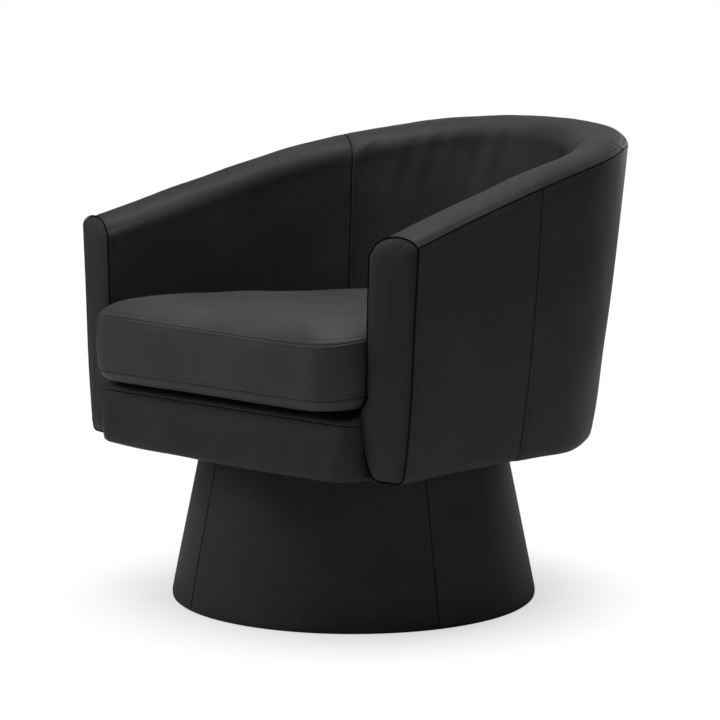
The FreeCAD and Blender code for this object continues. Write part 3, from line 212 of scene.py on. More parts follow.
def level_below_crest(s, inset, drop):
    """Height of the point that lies a drop below the top edge, at a depth in the wall."""
    drop = drop - crest_sway(s)
    behind = np.sin(SPLAY + np.clip(s, 0, ARC) / PATH_RADIUS) ** 4
    ridge = CREST_LINE * behind + inset * (1 - behind)
    z = np.full(np.broadcast(s, inset, drop).shape, 640.0)
    for _ in range(6):
        z = crest_level(plan_point(s, ridge, z)[1]) - drop
    return z


# Meshes from grids of points

def grid_normals(points, wrap=False):
    """Unit normals of a grid of points, by its rows and columns."""
    if wrap:
        along = np.roll(points, -1, 0) - np.roll(points, 1, 0)
    else:
        along = np.gradient(points, axis=0)
    across = np.gradient(points, axis=1)
    normal = np.cross(along, across)
    return normal / np.maximum(np.linalg.norm(normal, axis=2, keepdims=True), 1e-9)


def lengths(points, axis):
    """Distance along each row or column of a grid, from its start."""
    step = np.linalg.norm(np.diff(points, axis=axis), axis=2)
    pad = [(0, 0), (0, 0)]
    pad[axis] = (1, 0)
    return np.pad(np.cumsum(step, axis=axis), pad)


def line_run(line):
    """Distance along a line of points, from its start."""
    return np.concatenate([[0], np.cumsum(np.linalg.norm(np.diff(line, axis=0), axis=1))])


def along_line(line, run, want):
    """Plan points of a line at the wanted distances along it."""
    return np.stack([np.interp(want, run, line[:, k]) for k in range(2)], axis=1)


def add_mesh(name, verts, faces, material, body="seat_shell"):
    """A smooth-shaded mesh, from millimetres, that rides on a body."""
    mesh = bpy.data.meshes.new(name)
    mesh.from_pydata((np.asarray(verts) / 1000).tolist(), [], faces)
    mesh.validate()
    mesh.polygons.foreach_set("use_smooth", [True] * len(mesh.polygons))
    mesh.update()
    obj = bpy.data.objects.new(name, mesh)
    bpy.context.scene.collection.objects.link(obj)
    obj.data.materials.append(material)
    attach(obj, body)
    return obj


def stand_in(nodes):
    """The piece shows in place of CAD nodes."""
    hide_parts(*nodes)


def index_grid(rows, columns, wrap=False):
    at = np.arange(rows * columns).reshape(rows, columns)
    return np.concatenate([at, at[:1]]) if wrap else at


def quads(at):
    """The faces of a grid of indices."""
    a, b = at[:-1], at[1:]
    return np.stack([a[:, :-1], b[:, :-1], b[:, 1:], a[:, 1:]], axis=-1).reshape(-1, 4).tolist()


def ring_quads(at):
    """The same where each row is a closed ring."""
    return [(a, d, c, b) for a, b, c, d in quads(np.concatenate([at, at[:, :1]], axis=1))]


def thick_sheet(name, points, normals, thickness, material, body="seat_shell", wrap=False, closed=None):
    """A sheet with a back and closed edges."""
    rows, columns = points.shape[:2]
    count = rows * columns
    verts = np.concatenate([points.reshape(-1, 3), (points - normals * thickness).reshape(-1, 3)])
    at = index_grid(rows, columns, wrap)
    faces = quads(at)
    faces += [[i + count for i in reversed(f)] for f in faces]
    rims = [] if wrap else [at[0], at[-1, ::-1]]
    if closed != "last":
        rims.append(at[:, -1])
    if closed != "first":
        rims.append(at[::-1, 0])
    for rim in rims:
        rim = rim.tolist()
        faces += [(b, a, a + count, b + count) for a, b in zip(rim, rim[1:])]
    obj = add_mesh(name, verts, faces, material, body)
    if closed:
        weld = bmesh.new()
        weld.from_mesh(obj.data)
        bmesh.ops.remove_doubles(weld, verts=weld.verts, dist=3e-5)
        weld.to_mesh(obj.data)
        weld.free()
    return obj


def stitch_dent(e):
    return 0.35 * bell(e - STITCH_AWAY, 1.6)


def plump(e, height=2.3, width=3.4):
    """How far a padded panel stands proud at a distance from its seam."""
    near = np.clip(1 - e / width, 0, 1)
    return height * (1 - near ** 2.2) - stitch_dent(e)


def waves(a, b, seed, amplitude, size):
    """Soft uneven swell of a padded surface: a few waves of fixed random direction."""
    rng = np.random.default_rng(seed)
    total = np.zeros(np.broadcast(a, b).shape)
    for _ in range(7):
        turn, phase = rng.uniform(0, 2 * math.pi, 2)
        length = size * rng.uniform(0.7, 1.6)
        total += np.sin((a * math.cos(turn) + b * math.sin(turn)) * 2 * math.pi / length + phase)
    return amplitude * total / 2.6


def puckers(along, e, seed, amplitude=0.45, reach=22):
    """Short gathers square to a seam that fade away from it."""
    rng = np.random.default_rng(seed)
    total = np.zeros(np.broadcast(along, e).shape)
    for _ in range(9):
        length = rng.uniform(13, 48)
        total += np.sin(along * 2 * math.pi / length + rng.uniform(0, 6.28)) * rng.uniform(0.4, 1)
    fade = np.exp(-(e / reach) ** 1.3) * smooth((e - 1) / 6)
    return amplitude * total / 3 * fade


# Thread, and dark cords of painted shade in the seam grooves

stitch_rows = []
seam_shade_lines = []


def stitch_row(points, normals, body="seat_shell"):
    stitch_rows.append((body, points, normals))


# Each seam's line of painted shade: a dark cord laid along its groove
def seam_shade_line(points, normals, radius=0.8, body="seat_shell"):
    seam_shade_lines.append((body, points, normals, radius))


def by_body(rows):
    """Each body's name with its own rows."""
    for body in sorted({row[0] for row in rows}):
        yield body, [row[1:] for row in rows if row[0] == body]


def resample(line):
    """Fractional indices along a line at which its stitches begin and end."""
    run = line_run(line)
    count = max(int(run[-1] / STITCH_STEP), 1)
    return np.interp(np.linspace(0, run[-1], count + 1), run, np.arange(len(line)))


def pick(rows, index):
    low = np.clip(np.floor(index).astype(int), 0, len(rows) - 2)
    part = (index - low)[:, None]
    return rows[low] * (1 - part) + rows[low + 1] * part


def unit(rows):
    return rows / np.maximum(np.linalg.norm(rows, axis=-1, keepdims=True), 1e-9)


def tube_faces(start, rings):
    """Faces between the rings of a thread's tube."""
    return ring_quads(start + index_grid(rings, THREAD_SIDES))


def make_seam_shade_lines(material):
    """Painted seam shade: a thin near-black cord in each closed seam's groove that stands in for the shadow
    there.
    """
    for body, lines in by_body(seam_shade_lines):
        verts, faces = [], []
        for points, normals, radius in lines:
            ahead = unit(np.gradient(points, axis=0))
            side = unit(np.cross(normals, ahead))
            up = np.cross(ahead, side)
            start = len(verts)
            for place, across, out in zip(points, side, up):
                for turn in THREAD_TURNS:
                    off = across * math.cos(turn) + out * math.sin(turn)
                    verts.append(place + out * 0.5 + radius * off)
            faces += tube_faces(start, len(points))
            last = start + (len(points) - 1) * THREAD_SIDES
            faces.append(tuple(start + k for k in reversed(range(THREAD_SIDES))))
            faces.append(tuple(last + k for k in range(THREAD_SIDES)))
        obj = add_mesh(f"seam_shade_lines_{body}", verts, faces, material, body)


def make_stitches(material):
    """Thread: one short raised stitch after another along each row."""
    rng = np.random.default_rng(11)
    for body, rows in by_body(stitch_rows):
        verts, faces = [], []
        for points, normals in rows:
            index = resample(points)
            middle = (index[:-1] + index[1:]) / 2
            places = pick(points, middle)
            ups = pick(normals, middle)
            ahead = pick(points, index[1:]) - pick(points, index[:-1])
            for place, up, run in zip(places, ups, ahead):
                run, up = unit(run), unit(up)
                side = np.cross(up, run)
                run = run + side * rng.uniform(-0.05, 0.05)
                start = len(verts)
                centre = place + up * 0.05
                for t, r in STITCH_PROFILE:
                    for turn in THREAD_TURNS:
                        off = side * math.cos(turn) + up * math.sin(turn)
                        verts.append(centre + run * STITCH_LENGTH * t
                                     + off * STITCH_RADIUS * max(r, 0.08) + up * (-0.35 * (2 * t) ** 4))
                faces += tube_faces(start, len(STITCH_PROFILE))
        obj = add_mesh(f"stitches_{body}", verts, faces, material, body)


# Materials

class Nodes:
    """A node tree, with short ways to add nodes to it."""

    def __init__(self, owner, clear=False):
        owner.use_nodes = True
        self.tree = owner.node_tree
        if clear:
            self.tree.nodes.clear()

    def plug(self, made, inputs):
        """Fill a node's inputs: a socket is linked, and anything else is the input's value."""
        for name, value in inputs.items():
            if isinstance(value, bpy.types.NodeSocket):
                self.tree.links.new(value, made.inputs[name])
            else:
                made.inputs[name].default_value = value

    def add(self, kind, inputs=None, **settings):
        """Add a node and give its outputs."""
        made = self.tree.nodes.new("ShaderNode" + kind)
        for name, value in settings.items():
            setattr(made, name, value)
        self.plug(made, inputs or {})
        return made.outputs

    def ramp(self, source, *stops):
        colour = self.add("ValToRGB", {"Fac": source})["Color"]
        elements = colour.node.color_ramp.elements
        for element, (place, shade) in zip(elements, (stops[0], stops[-1])):
            element.position = place
            element.color = (*shade, 1)
        for place, shade in stops[1:-1]:
            elements.new(place).color = (*shade, 1)
        return colour

    def mapped(self, source, low, high, to_low, to_high):
        return self.add("MapRange", {"Value": source, "From Min": low, "From Max": high,
                                     "To Min": to_low, "To Max": to_high})["Result"]

    def maths(self, operation, a, b):
        return self.add("Math", {0: a, 1: b}, operation=operation)[0]

    def average(self, a, b, factor):
        return self.add("Mix", {0: factor, 2: a, 3: b})[0]

    def blend(self, a, b, factor, kind="MIX"):
        return self.add("Mix", {0: factor, 6: a, 7: b}, data_type="RGBA", blend_type=kind)[2]

    def seen_directly(self):
        """1 for a ray from the camera or through glass, and 0 for light that falls on things."""
        rays = self.add("LightPath")
        return self.maths("MAXIMUM", rays["Is Camera Ray"], rays["Is Transmission Ray"])


class Finish(Nodes):
    """A material, with textures in the piece's own coordinates."""

    def __init__(self, name, colour, roughness):
        self.material = bpy.data.materials.new(name)
        super().__init__(self.material)
        self.coords = self.add("TexCoord")["Object"]
        self.done({"Base Color": (*colour, 1), "Roughness": roughness})

    def done(self, inputs):
        self.plug(self.tree.nodes["Principled BSDF"], inputs)
        return self.material

    def noise(self, scale, detail=4, rough=0.5, at=None):
        return self.add("TexNoise", {"Vector": at or self.coords, "Scale": scale, "Detail": detail,
                                     "Roughness": rough})["Fac"]

    def cells(self, scale):
        return self.add("TexVoronoi", {"Vector": self.coords, "Scale": scale})["Distance"]

    def bands(self, scale, direction, distortion=0.0):
        return self.add("TexWave", {"Vector": self.coords, "Scale": scale, "Distortion": distortion},
                        wave_type="BANDS", bands_direction=direction)

    def stretched(self, scale):
        return self.add("Mapping", {"Vector": self.coords, "Scale": scale})["Vector"]

    def bump(self, height, strength, distance, under=None):
        inputs = {"Height": height, "Strength": strength, "Distance": distance}
        if under:
            inputs["Normal"] = under
        return self.add("Bump", inputs)["Normal"]


def leather_material(name, dark, light, roughness, scuffs=0.0):
    """Smooth fine-grained leather: pebble cells, pores, soft creases and rubbed spots."""
    n = Finish(name, dark, roughness)
    cloud = n.average(n.noise(9, 5), n.noise(60, 4), 0.3)
    colour = n.ramp(cloud, (0.3, dark), (0.7, light))
    if scuffs:
        low = n.mapped(n.add("SeparateXYZ", {"Vector": n.coords})["Z"], 0.0, 0.05, 1.0, 0.0)
        spots = n.mapped(n.noise(26, 5, 0.6), 0.66, 0.74, 0.0, 1.0)
        rubbed = n.maths("MULTIPLY", n.maths("MULTIPLY", low, spots), scuffs)
        colour = n.blend(colour, (0.10, 0.096, 0.09, 1), rubbed)
    normal = n.bump(n.noise(210, 6, 0.65), 0.18, 0.0005)
    normal = n.bump(n.cells(620), 0.22, 0.00035, normal)
    normal = n.bump(n.cells(1500), 0.1, 0.0002, normal)
    return n.done({"Base Color": colour, "Normal": normal, "Specular IOR Level": 0.13, "IOR": 1.45,
                   "Roughness": n.mapped(cloud, 0.3, 0.7, roughness - 0.05, roughness + 0.06)})


def cloth_material(name, dark, light, scale, roughness=0.9, specular=0.5):
    """Woven or felted cloth."""
    n = Finish(name, dark, roughness)
    warp, weft = (n.bands(scale, direction, 1.5)["Fac"] for direction in "XY")
    fuzz = n.noise(scale * 1.7, 6, 0.7)
    weave = n.average(n.maths("MAXIMUM", warp, weft), fuzz, 0.5)
    return n.done({"Base Color": n.ramp(weave, (0.25, dark), (0.8, light)), "Specular IOR Level": specular,
                   "Roughness": n.mapped(fuzz, 0.3, 0.7, roughness - 0.08, roughness + 0.05),
                   "Normal": n.bump(weave, 0.5, 0.0004)})


def wood_material(name, dark, light, layered):
    """Plywood with its glued layers, or plain timber with long grain."""
    n = Finish(name, dark, 0.6)
    grain = n.noise(3, 8, 0.62, n.stretched((4, 40, 40) if layered else (40, 40, 4)))
    colour = n.ramp(grain, (0.3, dark), (0.52, light), (0.72, dark))
    if layered:
        colour = n.blend(colour, n.bands(105, "Z")["Color"], 0.35, "MULTIPLY")
    return n.done({"Base Color": colour, "Roughness": n.mapped(grain, 0.3, 0.7, 0.5, 0.72),
                   "Normal": n.bump(grain, 0.3, 0.0006)})


def steel_material(name, colour, roughness):
    """Zinc-plated steel: drawn streaks and cloudy plating."""
    n = Finish(name, colour, roughness)
    streaks = n.noise(4, 5, at=n.stretched((12, 300, 300)))
    dull = tuple(c * 0.72 for c in colour)
    return n.done({"Metallic": 1, "Base Color": n.ramp(n.noise(45, 4), (0.3, dull), (0.7, colour)),
                   "Roughness": n.mapped(streaks, 0.3, 0.7, roughness - 0.08, roughness + 0.12),
                   "Normal": n.bump(streaks, 0.12, 0.0002)})


def foam_material(name, dark, light):
    n = Finish(name, dark, 0.95)
    pores = n.cells(900)
    return n.done({"Base Color": n.ramp(pores, (0.15, dark), (0.6, light)),
                   "Roughness": n.mapped(pores, 0, 1, 0.9, 1.0), "Normal": n.bump(pores, 0.6, 0.0006)})


BLACK, BLACK_LIGHT = (0.0340, 0.0334, 0.0328), (0.0480, 0.0470, 0.0460)
# The cushion's leather is the shell's black leather painted lighter: a lit copy that stands in for the
# brighter light falling on the cushion's top
LIT_SEAT_BLACK, LIT_SEAT_LIGHT = (0.0500, 0.0490, 0.0478), (0.0730, 0.0712, 0.0690)
leather = leather_material("leather_black", BLACK, BLACK_LIGHT, 0.5)
leather_seat_painted_light = leather_material("leather_seat_painted_light", LIT_SEAT_BLACK, LIT_SEAT_LIGHT, 0.5)
leather_base = leather_material("leather_base", BLACK, BLACK_LIGHT, 0.52, 0.3)
thread = cloth_material("thread_black", (0.004,) * 3, (0.012,) * 3, 900, 0.6)
# Painted seam shade: near-black, almost unreflective cloth for the cords that stand in for the shadow in the
# seam grooves
seam_shade_paint = cloth_material("seam_painted_shade", (0.003,) * 3, (0.006,) * 3, 900, 0.9, 0.03)
lining = cloth_material("lining_black", (0.006,) * 3, (0.016,) * 3, 420)
zip_nylon = cloth_material("zip_black", (0.005,) * 3, (0.014,) * 3, 380, 0.5)
SLOT_MATERIALS = {
    "leather": leather, "lining": lining, "zip_nylon": zip_nylon,
    "felt": cloth_material("felt_grey", (0.012,) * 3, (0.035, 0.034, 0.033), 260),
    "foam": foam_material("foam_cream", (0.42, 0.36, 0.22), (0.70, 0.63, 0.44)),
    "plywood": wood_material("plywood_birch", (0.30, 0.19, 0.10), (0.50, 0.36, 0.21), True),
    "timber": wood_material("timber_pine", (0.33, 0.20, 0.10), (0.55, 0.39, 0.22), False),
    "plate_steel": steel_material("steel_zinc", (0.42, 0.42, 0.43), 0.38),
    "bright_steel": steel_material("steel_bright", (0.55, 0.55, 0.56), 0.28)}


def dress_cad():
    """Every node of the frame takes the finish of its slot."""
    for part in frame["record"]["subparts"]:
        data = frame["nodes"][part["node"]].data
        data.materials.clear()
        data.materials.append(SLOT_MATERIALS[part["material_slot"]])


# Shell leather

def outer_seam(z):
    """Place of the outside upright seam along the shell, by height."""
    a = (np.asarray(z, float) - 235) / 383
    return -76.2 - 4.7 * a - 12.9 * a * a


def inner_seam(z):
    """Place of the inside upright seam along the shell, by height."""
    return np.interp(z, [316, 441, 686, 730], [136, 134.8, 125.6, 124])


def foot_round(s):
    """Radius of the rounded lower edge: small by the arm fronts, larger behind."""
    away = np.minimum(np.abs(s), np.abs(s - ARC))
    behind = smooth(np.where((s > 0) & (s < ARC), away / 150, 0))
    return 13 + behind - 4 * smooth((past_arc(s) - 150) / 180)


def foot_drop(s):
    """How far the lower edge hangs down behind the arms."""
    return 4.5 * float(smooth((min(s, ARC - s) + 90) / 160))


def outside_swell(s, z):
    """How far the padded outside stands proud of a straight line from foot to seam."""
    top = crest_level(plan_point(s, 0, z)[1]) - SEAM_DROP
    t = np.clip((z - FOOT) / (top - FOOT), 0, 1)
    front = smooth((past_arc(s) - 150) / 170)
    swell = 3.0 * np.sin(math.pi * t ** 0.9)
    front_swell = 2.5 * bell(z - 350, 90)
    tuck = (1.5 + 2.0 * front) * np.exp(-np.maximum(z - FOOT, 0) / 26)
    return swell * (1 - front) + front_swell * front - tuck


def outer_rows(s):
    """Depth and height of each point of the outside's section at one place along the shell."""
    r = float(foot_round(np.asarray(s)))
    under = np.linspace(56, r, 6)[:-1]
    turn = np.linspace(0, math.pi / 2, 9)
    foot = FOOT - foot_drop(s)
    top = float(level_below_crest(s, 0.0, SEAM_DROP))
    reach = top - foot - r
    away = np.array(SEAM_NEAR[:-1] + list(np.linspace(SEAM_NEAR[-1], reach, 46)))
    face = (top - away)[::-1]
    insets = np.concatenate([under, r - r * np.sin(turn[:-1]), np.zeros(len(face))])
    heights = np.concatenate([np.full(len(under), float(foot)), foot + r - r * np.cos(turn[:-1]), face])
    return insets, heights


def inner_rows(s):
    """The same for the leather that runs from the outer seam over the top and down inside."""
    crest = float(level_below_crest(s, CREST_LINE, 0.0))
    wall = float(wall_thickness(crest - 20))
    first = math.asin(1 - SEAM_DROP / OUTER_DOME)
    theta = np.linspace(first, math.pi / 2, 30)
    i1 = CREST_LINE * (1 - np.cos(theta))
    i1 = i1 - i1[0] * (1 - (theta - first) / (math.pi / 2 - first))
    h1 = OUTER_DOME * (1 - np.sin(theta))
    theta = np.linspace(0, math.pi / 2, 40)[1:]
    i2 = CREST_LINE + (wall - CREST_LINE) * np.sin(theta) ** INNER_DOME_POWER
    h2 = INNER_DOME * (1 - np.cos(theta) ** INNER_DOME_POWER)
    insets = np.concatenate([i1, i2])
    heights = level_below_crest(s, insets, np.concatenate([h1, h2]))
    low = np.linspace(heights[-1], INNER_FOOT, 30)[1:]
    insets = np.concatenate([insets, wall_thickness(low)])
    heights = np.concatenate([heights, low])
    run = np.concatenate([[0], np.cumsum(np.hypot(np.diff(insets), np.diff(heights)))])
    away = np.array(SEAM_NEAR[:-1] + list(np.linspace(SEAM_NEAR[-1], 130, 30))[:-1]
                    + list(np.linspace(130, run[-1], 44)))
    return np.interp(away, run, insets), np.interp(away, run, heights)


def spread(length, first_seam, last_seam, step=8.0):
    """Places along a panel, as parts of its length: close together by its seams."""
    near = np.array(SEAM_NEAR, float)
    left = list(near) if first_seam else [0.0]
    right = list(length - near[::-1]) if last_seam else [length]
    count = max(int((right[0] - left[-1]) / step), 2)
    return np.array(left[:-1] + list(np.linspace(left[-1], right[0], count + 1)) + right[1:]) / length


def wall_point(kind, s, inset, z):
    """A point of the wall's leather before its seams and creases."""
    if kind == "outer":
        depth = inset - outside_swell(s, z) * smooth((z - FOOT + 4) / 4)
    else:
        sunk = 2.5 * np.sin(math.pi * np.clip((z - INNER_FOOT) / 300, 0, 1))
        depth = inset + np.where(inset >= wall_thickness(z) - 1, sunk, 0)
    x, y = plan_point(s, depth, z)
    return np.stack([x, y, np.asarray(z, float) + 0 * x], axis=-1)


def wall_grid(kind, start, end, columns):
    """Points of one panel of the wall: columns run along the shell, rows up its section."""
    rows = outer_rows if kind == "outer" else inner_rows
    grid = []
    for f in columns:
        s = float(start(0.0, MIDDLE_LEVEL) * (1 - f) + end(0.0, MIDDLE_LEVEL) * f)
        for _ in range(2):
            insets, heights = rows(s)
            s_row = start(insets, heights) * (1 - f) + end(insets, heights) * f
            s = float(np.mean(s_row))
        grid.append(wall_point(kind, s_row, insets, heights))
    return np.array(grid)


def wall_panel(name, kind, start, end, seed, nodes):
    """One leather panel of the shell, with rolled seam edges, gathers and its stitch rows."""
    length = float(end(0.0, MIDDLE_LEVEL) - start(0.0, MIDDLE_LEVEL))
    grid = wall_grid(kind, start, end, spread(length, True, True))
    normal = grid_normals(grid)
    run, up = lengths(grid, 0), lengths(grid, 1)
    e_first, e_last = run, run[-1:, :] - run
    e_seam = up[:, -1:] - up if kind == "outer" else up
    nearest = np.minimum(np.minimum(e_first, e_last), e_seam)
    move = np.minimum(np.minimum(plump(e_first), plump(e_last)), plump(e_seam))
    soft = smooth(nearest / 14)
    move += waves(run, up, seed, 0.6, 150) * soft
    move += puckers(up, e_first, seed + 1) + puckers(up, e_last, seed + 2)
    move += puckers(run, e_seam, seed + 3, 0.35)
    if kind == "inner":
        under_top = bell(e_seam - 130, 65) * (2.5 if "back" in name else 0.5)
        move += under_top * waves(run + 9 * np.sin(up / 37), up * 0.22, seed + 5, 0.7, 46)
        move += smooth((e_seam - 150) / 120) * waves(run, up * 0.2, seed + 6, 0.7, 90) * soft
    points = grid + normal * move[:, :, None]
    normal = grid_normals(points)
    obj = thick_sheet(name, points, normal, SHELL_SHEET, leather)
    stand_in(nodes)
    visible = slice(14, None) if kind == "outer" else slice(None)
    ends = slice(NEAR, -NEAR)
    if kind == "inner":
        stitch_row(points[ends, NEAR], normal[ends, NEAR])
    for column in (NEAR, -1 - NEAR):
        stitch_row(points[column, visible], normal[column, visible])
    if kind == "outer":
        seam_shade_line(points[:, -1], normal[:, -1])
    if "left" not in name:
        seam_shade_line(points[-1, visible], normal[-1, visible])


def make_shell():
    """Outside and inside leather: each has a right, a back and a left panel."""
    for kind, seam, seed, extra in (("outer", outer_seam, 21, []), ("inner", inner_seam, 31, ["inner_foam"])):
        places = (lambda inset, z: -arm_reach(inset, z),
                  lambda inset, z: seam(z) + 0 * np.asarray(inset),
                  lambda inset, z: ARC - seam(z),
                  lambda inset, z: ARC + arm_reach(inset, z))
        for k, part in enumerate(("right", "back", "left")):
            name = f"{kind}_back" if part == "back" else f"{kind}_side_{part}"
            nodes = [f"{kind}_cover_{part}"] + (extra if part == "back" else [])
            wall_panel(name, kind, places[k], places[k + 1], seed + k, nodes)


# Arm fronts

def facing_outline():
    """The arm front's outline: the wall's section, then its lower inner edge."""
    line = []
    for kind, rows in (("outer", outer_rows), ("inner", inner_rows)):
        insets, heights = rows(float(-arm_reach(0, MIDDLE_LEVEL)))
        keep = heights > 353 if kind == "inner" else insets < 42
        insets, heights = insets[keep], heights[keep]
        points = wall_point(kind, -arm_reach(insets, heights), insets, heights)
        line += [(x, z) for x, _, z in points]
    line = np.array(line + FACING_FOOT + line[:1])
    line[:, 0] = (line[:, 0] - FACING_POINT[0]) / math.cos(FACING_TURN)
    run = line_run(line)
    return along_line(line, run, np.linspace(0, run[-1], 260, endpoint=False))


def facing_point(p, z, out):
    """A point of the arm front from its place across, its height and its distance ahead of the plane."""
    x = FACING_POINT[0] + p * math.cos(FACING_TURN) + out * math.sin(FACING_TURN)
    y = FACING_POINT[1] + p * math.sin(FACING_TURN) - out * math.cos(FACING_TURN)
    return np.stack([x, y, z], axis=-1)


def make_facing(side, name):
    """One arm front: a plump panel with a rim that runs back, and a dark cord of painted seam shade round it.
    """
    outline = facing_outline()
    middle = (318 - FACING_POINT[0]) / math.cos(FACING_TURN)
    spine = np.stack([np.full(len(outline), middle + 0.5), np.clip(outline[:, 1], 278, 522)], axis=1)
    reach = np.linalg.norm(outline - spine, axis=1)
    run = np.arange(len(outline)) * 4.0
    grid = []
    for d in (0, 0.6, 1.3, 2.2, 3.4, 5, 7, 9.5, 13, 17, 22, 27, 32):
        f = np.clip(d / 34.0, 0, 0.995)
        at = outline * (1 - f) + spine * f
        e = f * reach
        swell = 0.2 + 5.8 * (1 - np.exp(-e / 6.5)) + 2.0 * smooth(e / 34)
        swell = swell + waves(at[:, 0], at[:, 1], 41 + side, 0.5, 120) * smooth(e / 8)
        swell = swell + puckers(run, e, 43 + side, 0.35, 14)
        grid.append(facing_point(at[:, 0], at[:, 1], swell))
    grid = np.array(grid).transpose(1, 0, 2)
    grid[:, :, 0] *= side
    if side < 0:
        grid = grid[::-1]
    rows, columns = grid.shape[:2]
    faces = quads(index_grid(rows, columns, True))
    faces.append(tuple(i * columns + columns - 1 for i in range(rows)))
    ahead = np.array([side * math.sin(FACING_TURN), -math.cos(FACING_TURN), 0])
    first = rows * columns
    verts = np.concatenate([grid.reshape(-1, 3), grid[:, 0] - ahead * FACING_RIM])
    for i in range(rows):
        k = (i + 1) % rows
        faces.append((first + i, first + k, k * columns, i * columns))
    obj = add_mesh(f"facing_{name}", verts, faces, leather)
    stand_in([f"facing_cover_{name}", f"facing_foam_{name}"])
    ring = list(range(rows)) + [0]
    outward = unit(grid[ring, 0] - grid[ring, 6])
    seam_shade_line(grid[ring, 0] + 0.4 * outward + 0.9 * ahead, outward, 0.9)


# Panel below the cushion

def round_corner(s, y, z):
    """A point of the front panel's section, carried round the panel's rounded end."""
    along = abs(s)
    corner = 24 + 12 * float(np.clip(1 - (z - FRONT_LOW) / FRONT_HEIGHT, 0, 1)) ** 2
    inner = y - corner
    straight = FRONT_REACH - corner
    quarter = math.pi / 2 * corner
    over = along - straight
    if over <= 0:
        x, y = along, -y
    elif over <= quarter:
        x = straight + corner * math.sin(over / corner)
        y = -(inner + corner * math.cos(over / corner))
    else:
        x, y = FRONT_REACH, -inner + (over - quarter)
    return math.copysign(x, s), y, z


def make_front():
    """Bulged panel below the cushion, and the lip that runs back under it."""
    rise = np.linspace(0.02, 1, 26)
    seam = len(FRONT_UNDER) + len(rise) - 1
    grid = []
    for s in spread(660.0, False, False, 7.0) * 660 - 330:
        foot = 290.5 - 0.00015 * s * s
        sag = 2.2 * float(smooth((300 - abs(s)) / 60))
        under = [(y if y > 0 else foot + y, z - sag) for y, z in FRONT_UNDER]
        face = [(foot + (269.5 - foot) * t ** 1.35 + 3.0 * math.sin(math.pi * t),
                 FRONT_LOW + FRONT_HEIGHT * t - sag * (1 - t)) for t in rise]
        grid.append([round_corner(s, y, z) for y, z in under + face + FRONT_LIP])
    grid = np.array(grid)
    run, up = lengths(grid, 0), lengths(grid, 1)
    e_seam = np.abs(up - up[:, seam:seam + 1])
    below = up < up[:, seam:seam + 1]
    move = np.where(below, plump(e_seam, 1.4, 4), 0.9 * (1 - np.clip(1 - e_seam / 2.5, 0, 1) ** 2))
    move += waves(run, up, 51, 0.4, 170) * smooth(e_seam / 12) * below
    move += puckers(run, e_seam, 52, 0.25, 18) * below
    points = grid + grid_normals(grid) * move[:, :, None]
    shown = grid_normals(points)
    seam_shade_line(points[:, seam], shown[:, seam], 0.6)
    obj = thick_sheet("front_panel", points, shown, 0.7, leather)
    stand_in(["front_cover", "front_foam"])


# Base

def make_base():
    """Leather cone with four upright seams, turned in at foot and top."""
    turns = []
    for start, end in zip(BASE_SEAMS, BASE_SEAMS[1:] + [BASE_SEAMS[0] + 2 * math.pi]):
        places = spread(272 * (end - start), True, True, 9.0)[:-1]
        turns += [start + p * (end - start) for p in places]
    turns = np.array(turns)
    cone = [(BASE_RADIUS - BASE_LEAN * z + BASE_SWELL * math.sin(math.pi * z / 227), z)
            for z in np.linspace(16, 214, 30)]
    section = BASE_FOOT + cone + BASE_TOP
    grid = np.array([[(r * math.cos(turn), r * math.sin(turn), z) for r, z in section] for turn in turns])
    up = lengths(grid, 1)
    apart = np.abs(np.angle(np.exp(1j * (turns[:, None] - np.array(BASE_SEAMS)[None, :]))))
    nearest = np.min(apart, axis=1) * BASE_MIDDLE_RADIUS
    e, run = nearest[:, None], (turns * BASE_MIDDLE_RADIUS)[:, None]
    move = -0.9 * np.clip(1 - e / 2.2, 0, 1) ** 1.5 + waves(run, up, 61, 0.35, 160)
    move += 0.3 * bell(e - 6, 4)
    hold = smooth((up - 34) / 20)
    points = grid + grid_normals(grid, True) * (move * hold)[:, :, None]
    shown = grid_normals(points, True)
    for i in np.flatnonzero(nearest < 0.01):
        seam_shade_line(points[i, 7:-4], shown[i, 7:-4], 0.45, "base")
    obj = thick_sheet("base_leather", points, shown, 1.4, leather_base, "base", True)
    stand_in(["base_cover", "base_padding"])


# Flat cloths

def cloth_grid(z, inset, front, wave, nose=None):
    """Points of a flat cloth inside the shell, with its upward normals: nose narrows its front end."""
    radius, centre = hollow(z)
    radius -= inset
    across, y = np.linspace(-1, 1, 61)[:, None], np.linspace(0, 1, 60)
    y = front + (centre + radius - front) * y
    half = np.where(y < centre + radius * math.sin(SPLAY),
                    radius / math.cos(SPLAY) + (centre - y) * math.tan(SPLAY),
                    np.sqrt(np.maximum(radius ** 2 - (y - centre) ** 2, 1.0)))
    if nose:
        half = np.where(y < nose[0], np.minimum(half, nose[1]), half)
    grid = np.stack(np.broadcast_arrays(across * half, y, z), axis=-1)
    height = waves(grid[:, :, 0], grid[:, :, 1], 71, wave, 60)
    grid[:, :, 2] += height - np.abs(height).max()
    normal = np.zeros_like(grid)
    normal[:, :, 2] = 1
    return grid, normal


def make_flats():
    """Deck cloth with its felt, and the cloth under the seat, open round the swivel."""
    grid, normal = cloth_grid(328.6, 0.8, DECK_FRONT, 0.5)
    deck = thick_sheet("deck_lining", grid, normal, 8.4, lining)
    stand_in(["deck_cloth", "deck_pad"])
    grid, normal = cloth_grid(239.2, 32 - FOOT_WALL, UNDER_FRONT, 0.25, (-222, 252))
    flat = grid.reshape(-1, 3)
    faces = [f[::-1] for f in quads(index_grid(*grid.shape[:2]))
             if math.hypot(*flat[f].mean(0)[:2]) > SWIVEL_OPENING]
    faces += [[i + len(flat) for i in f[::-1]] for f in faces]
    verts = np.concatenate([flat, flat + 0.7 * normal.reshape(-1, 3)])
    under = add_mesh("under_lining", verts, faces, lining)
    stand_in(["dust_cover"])


# Cushion

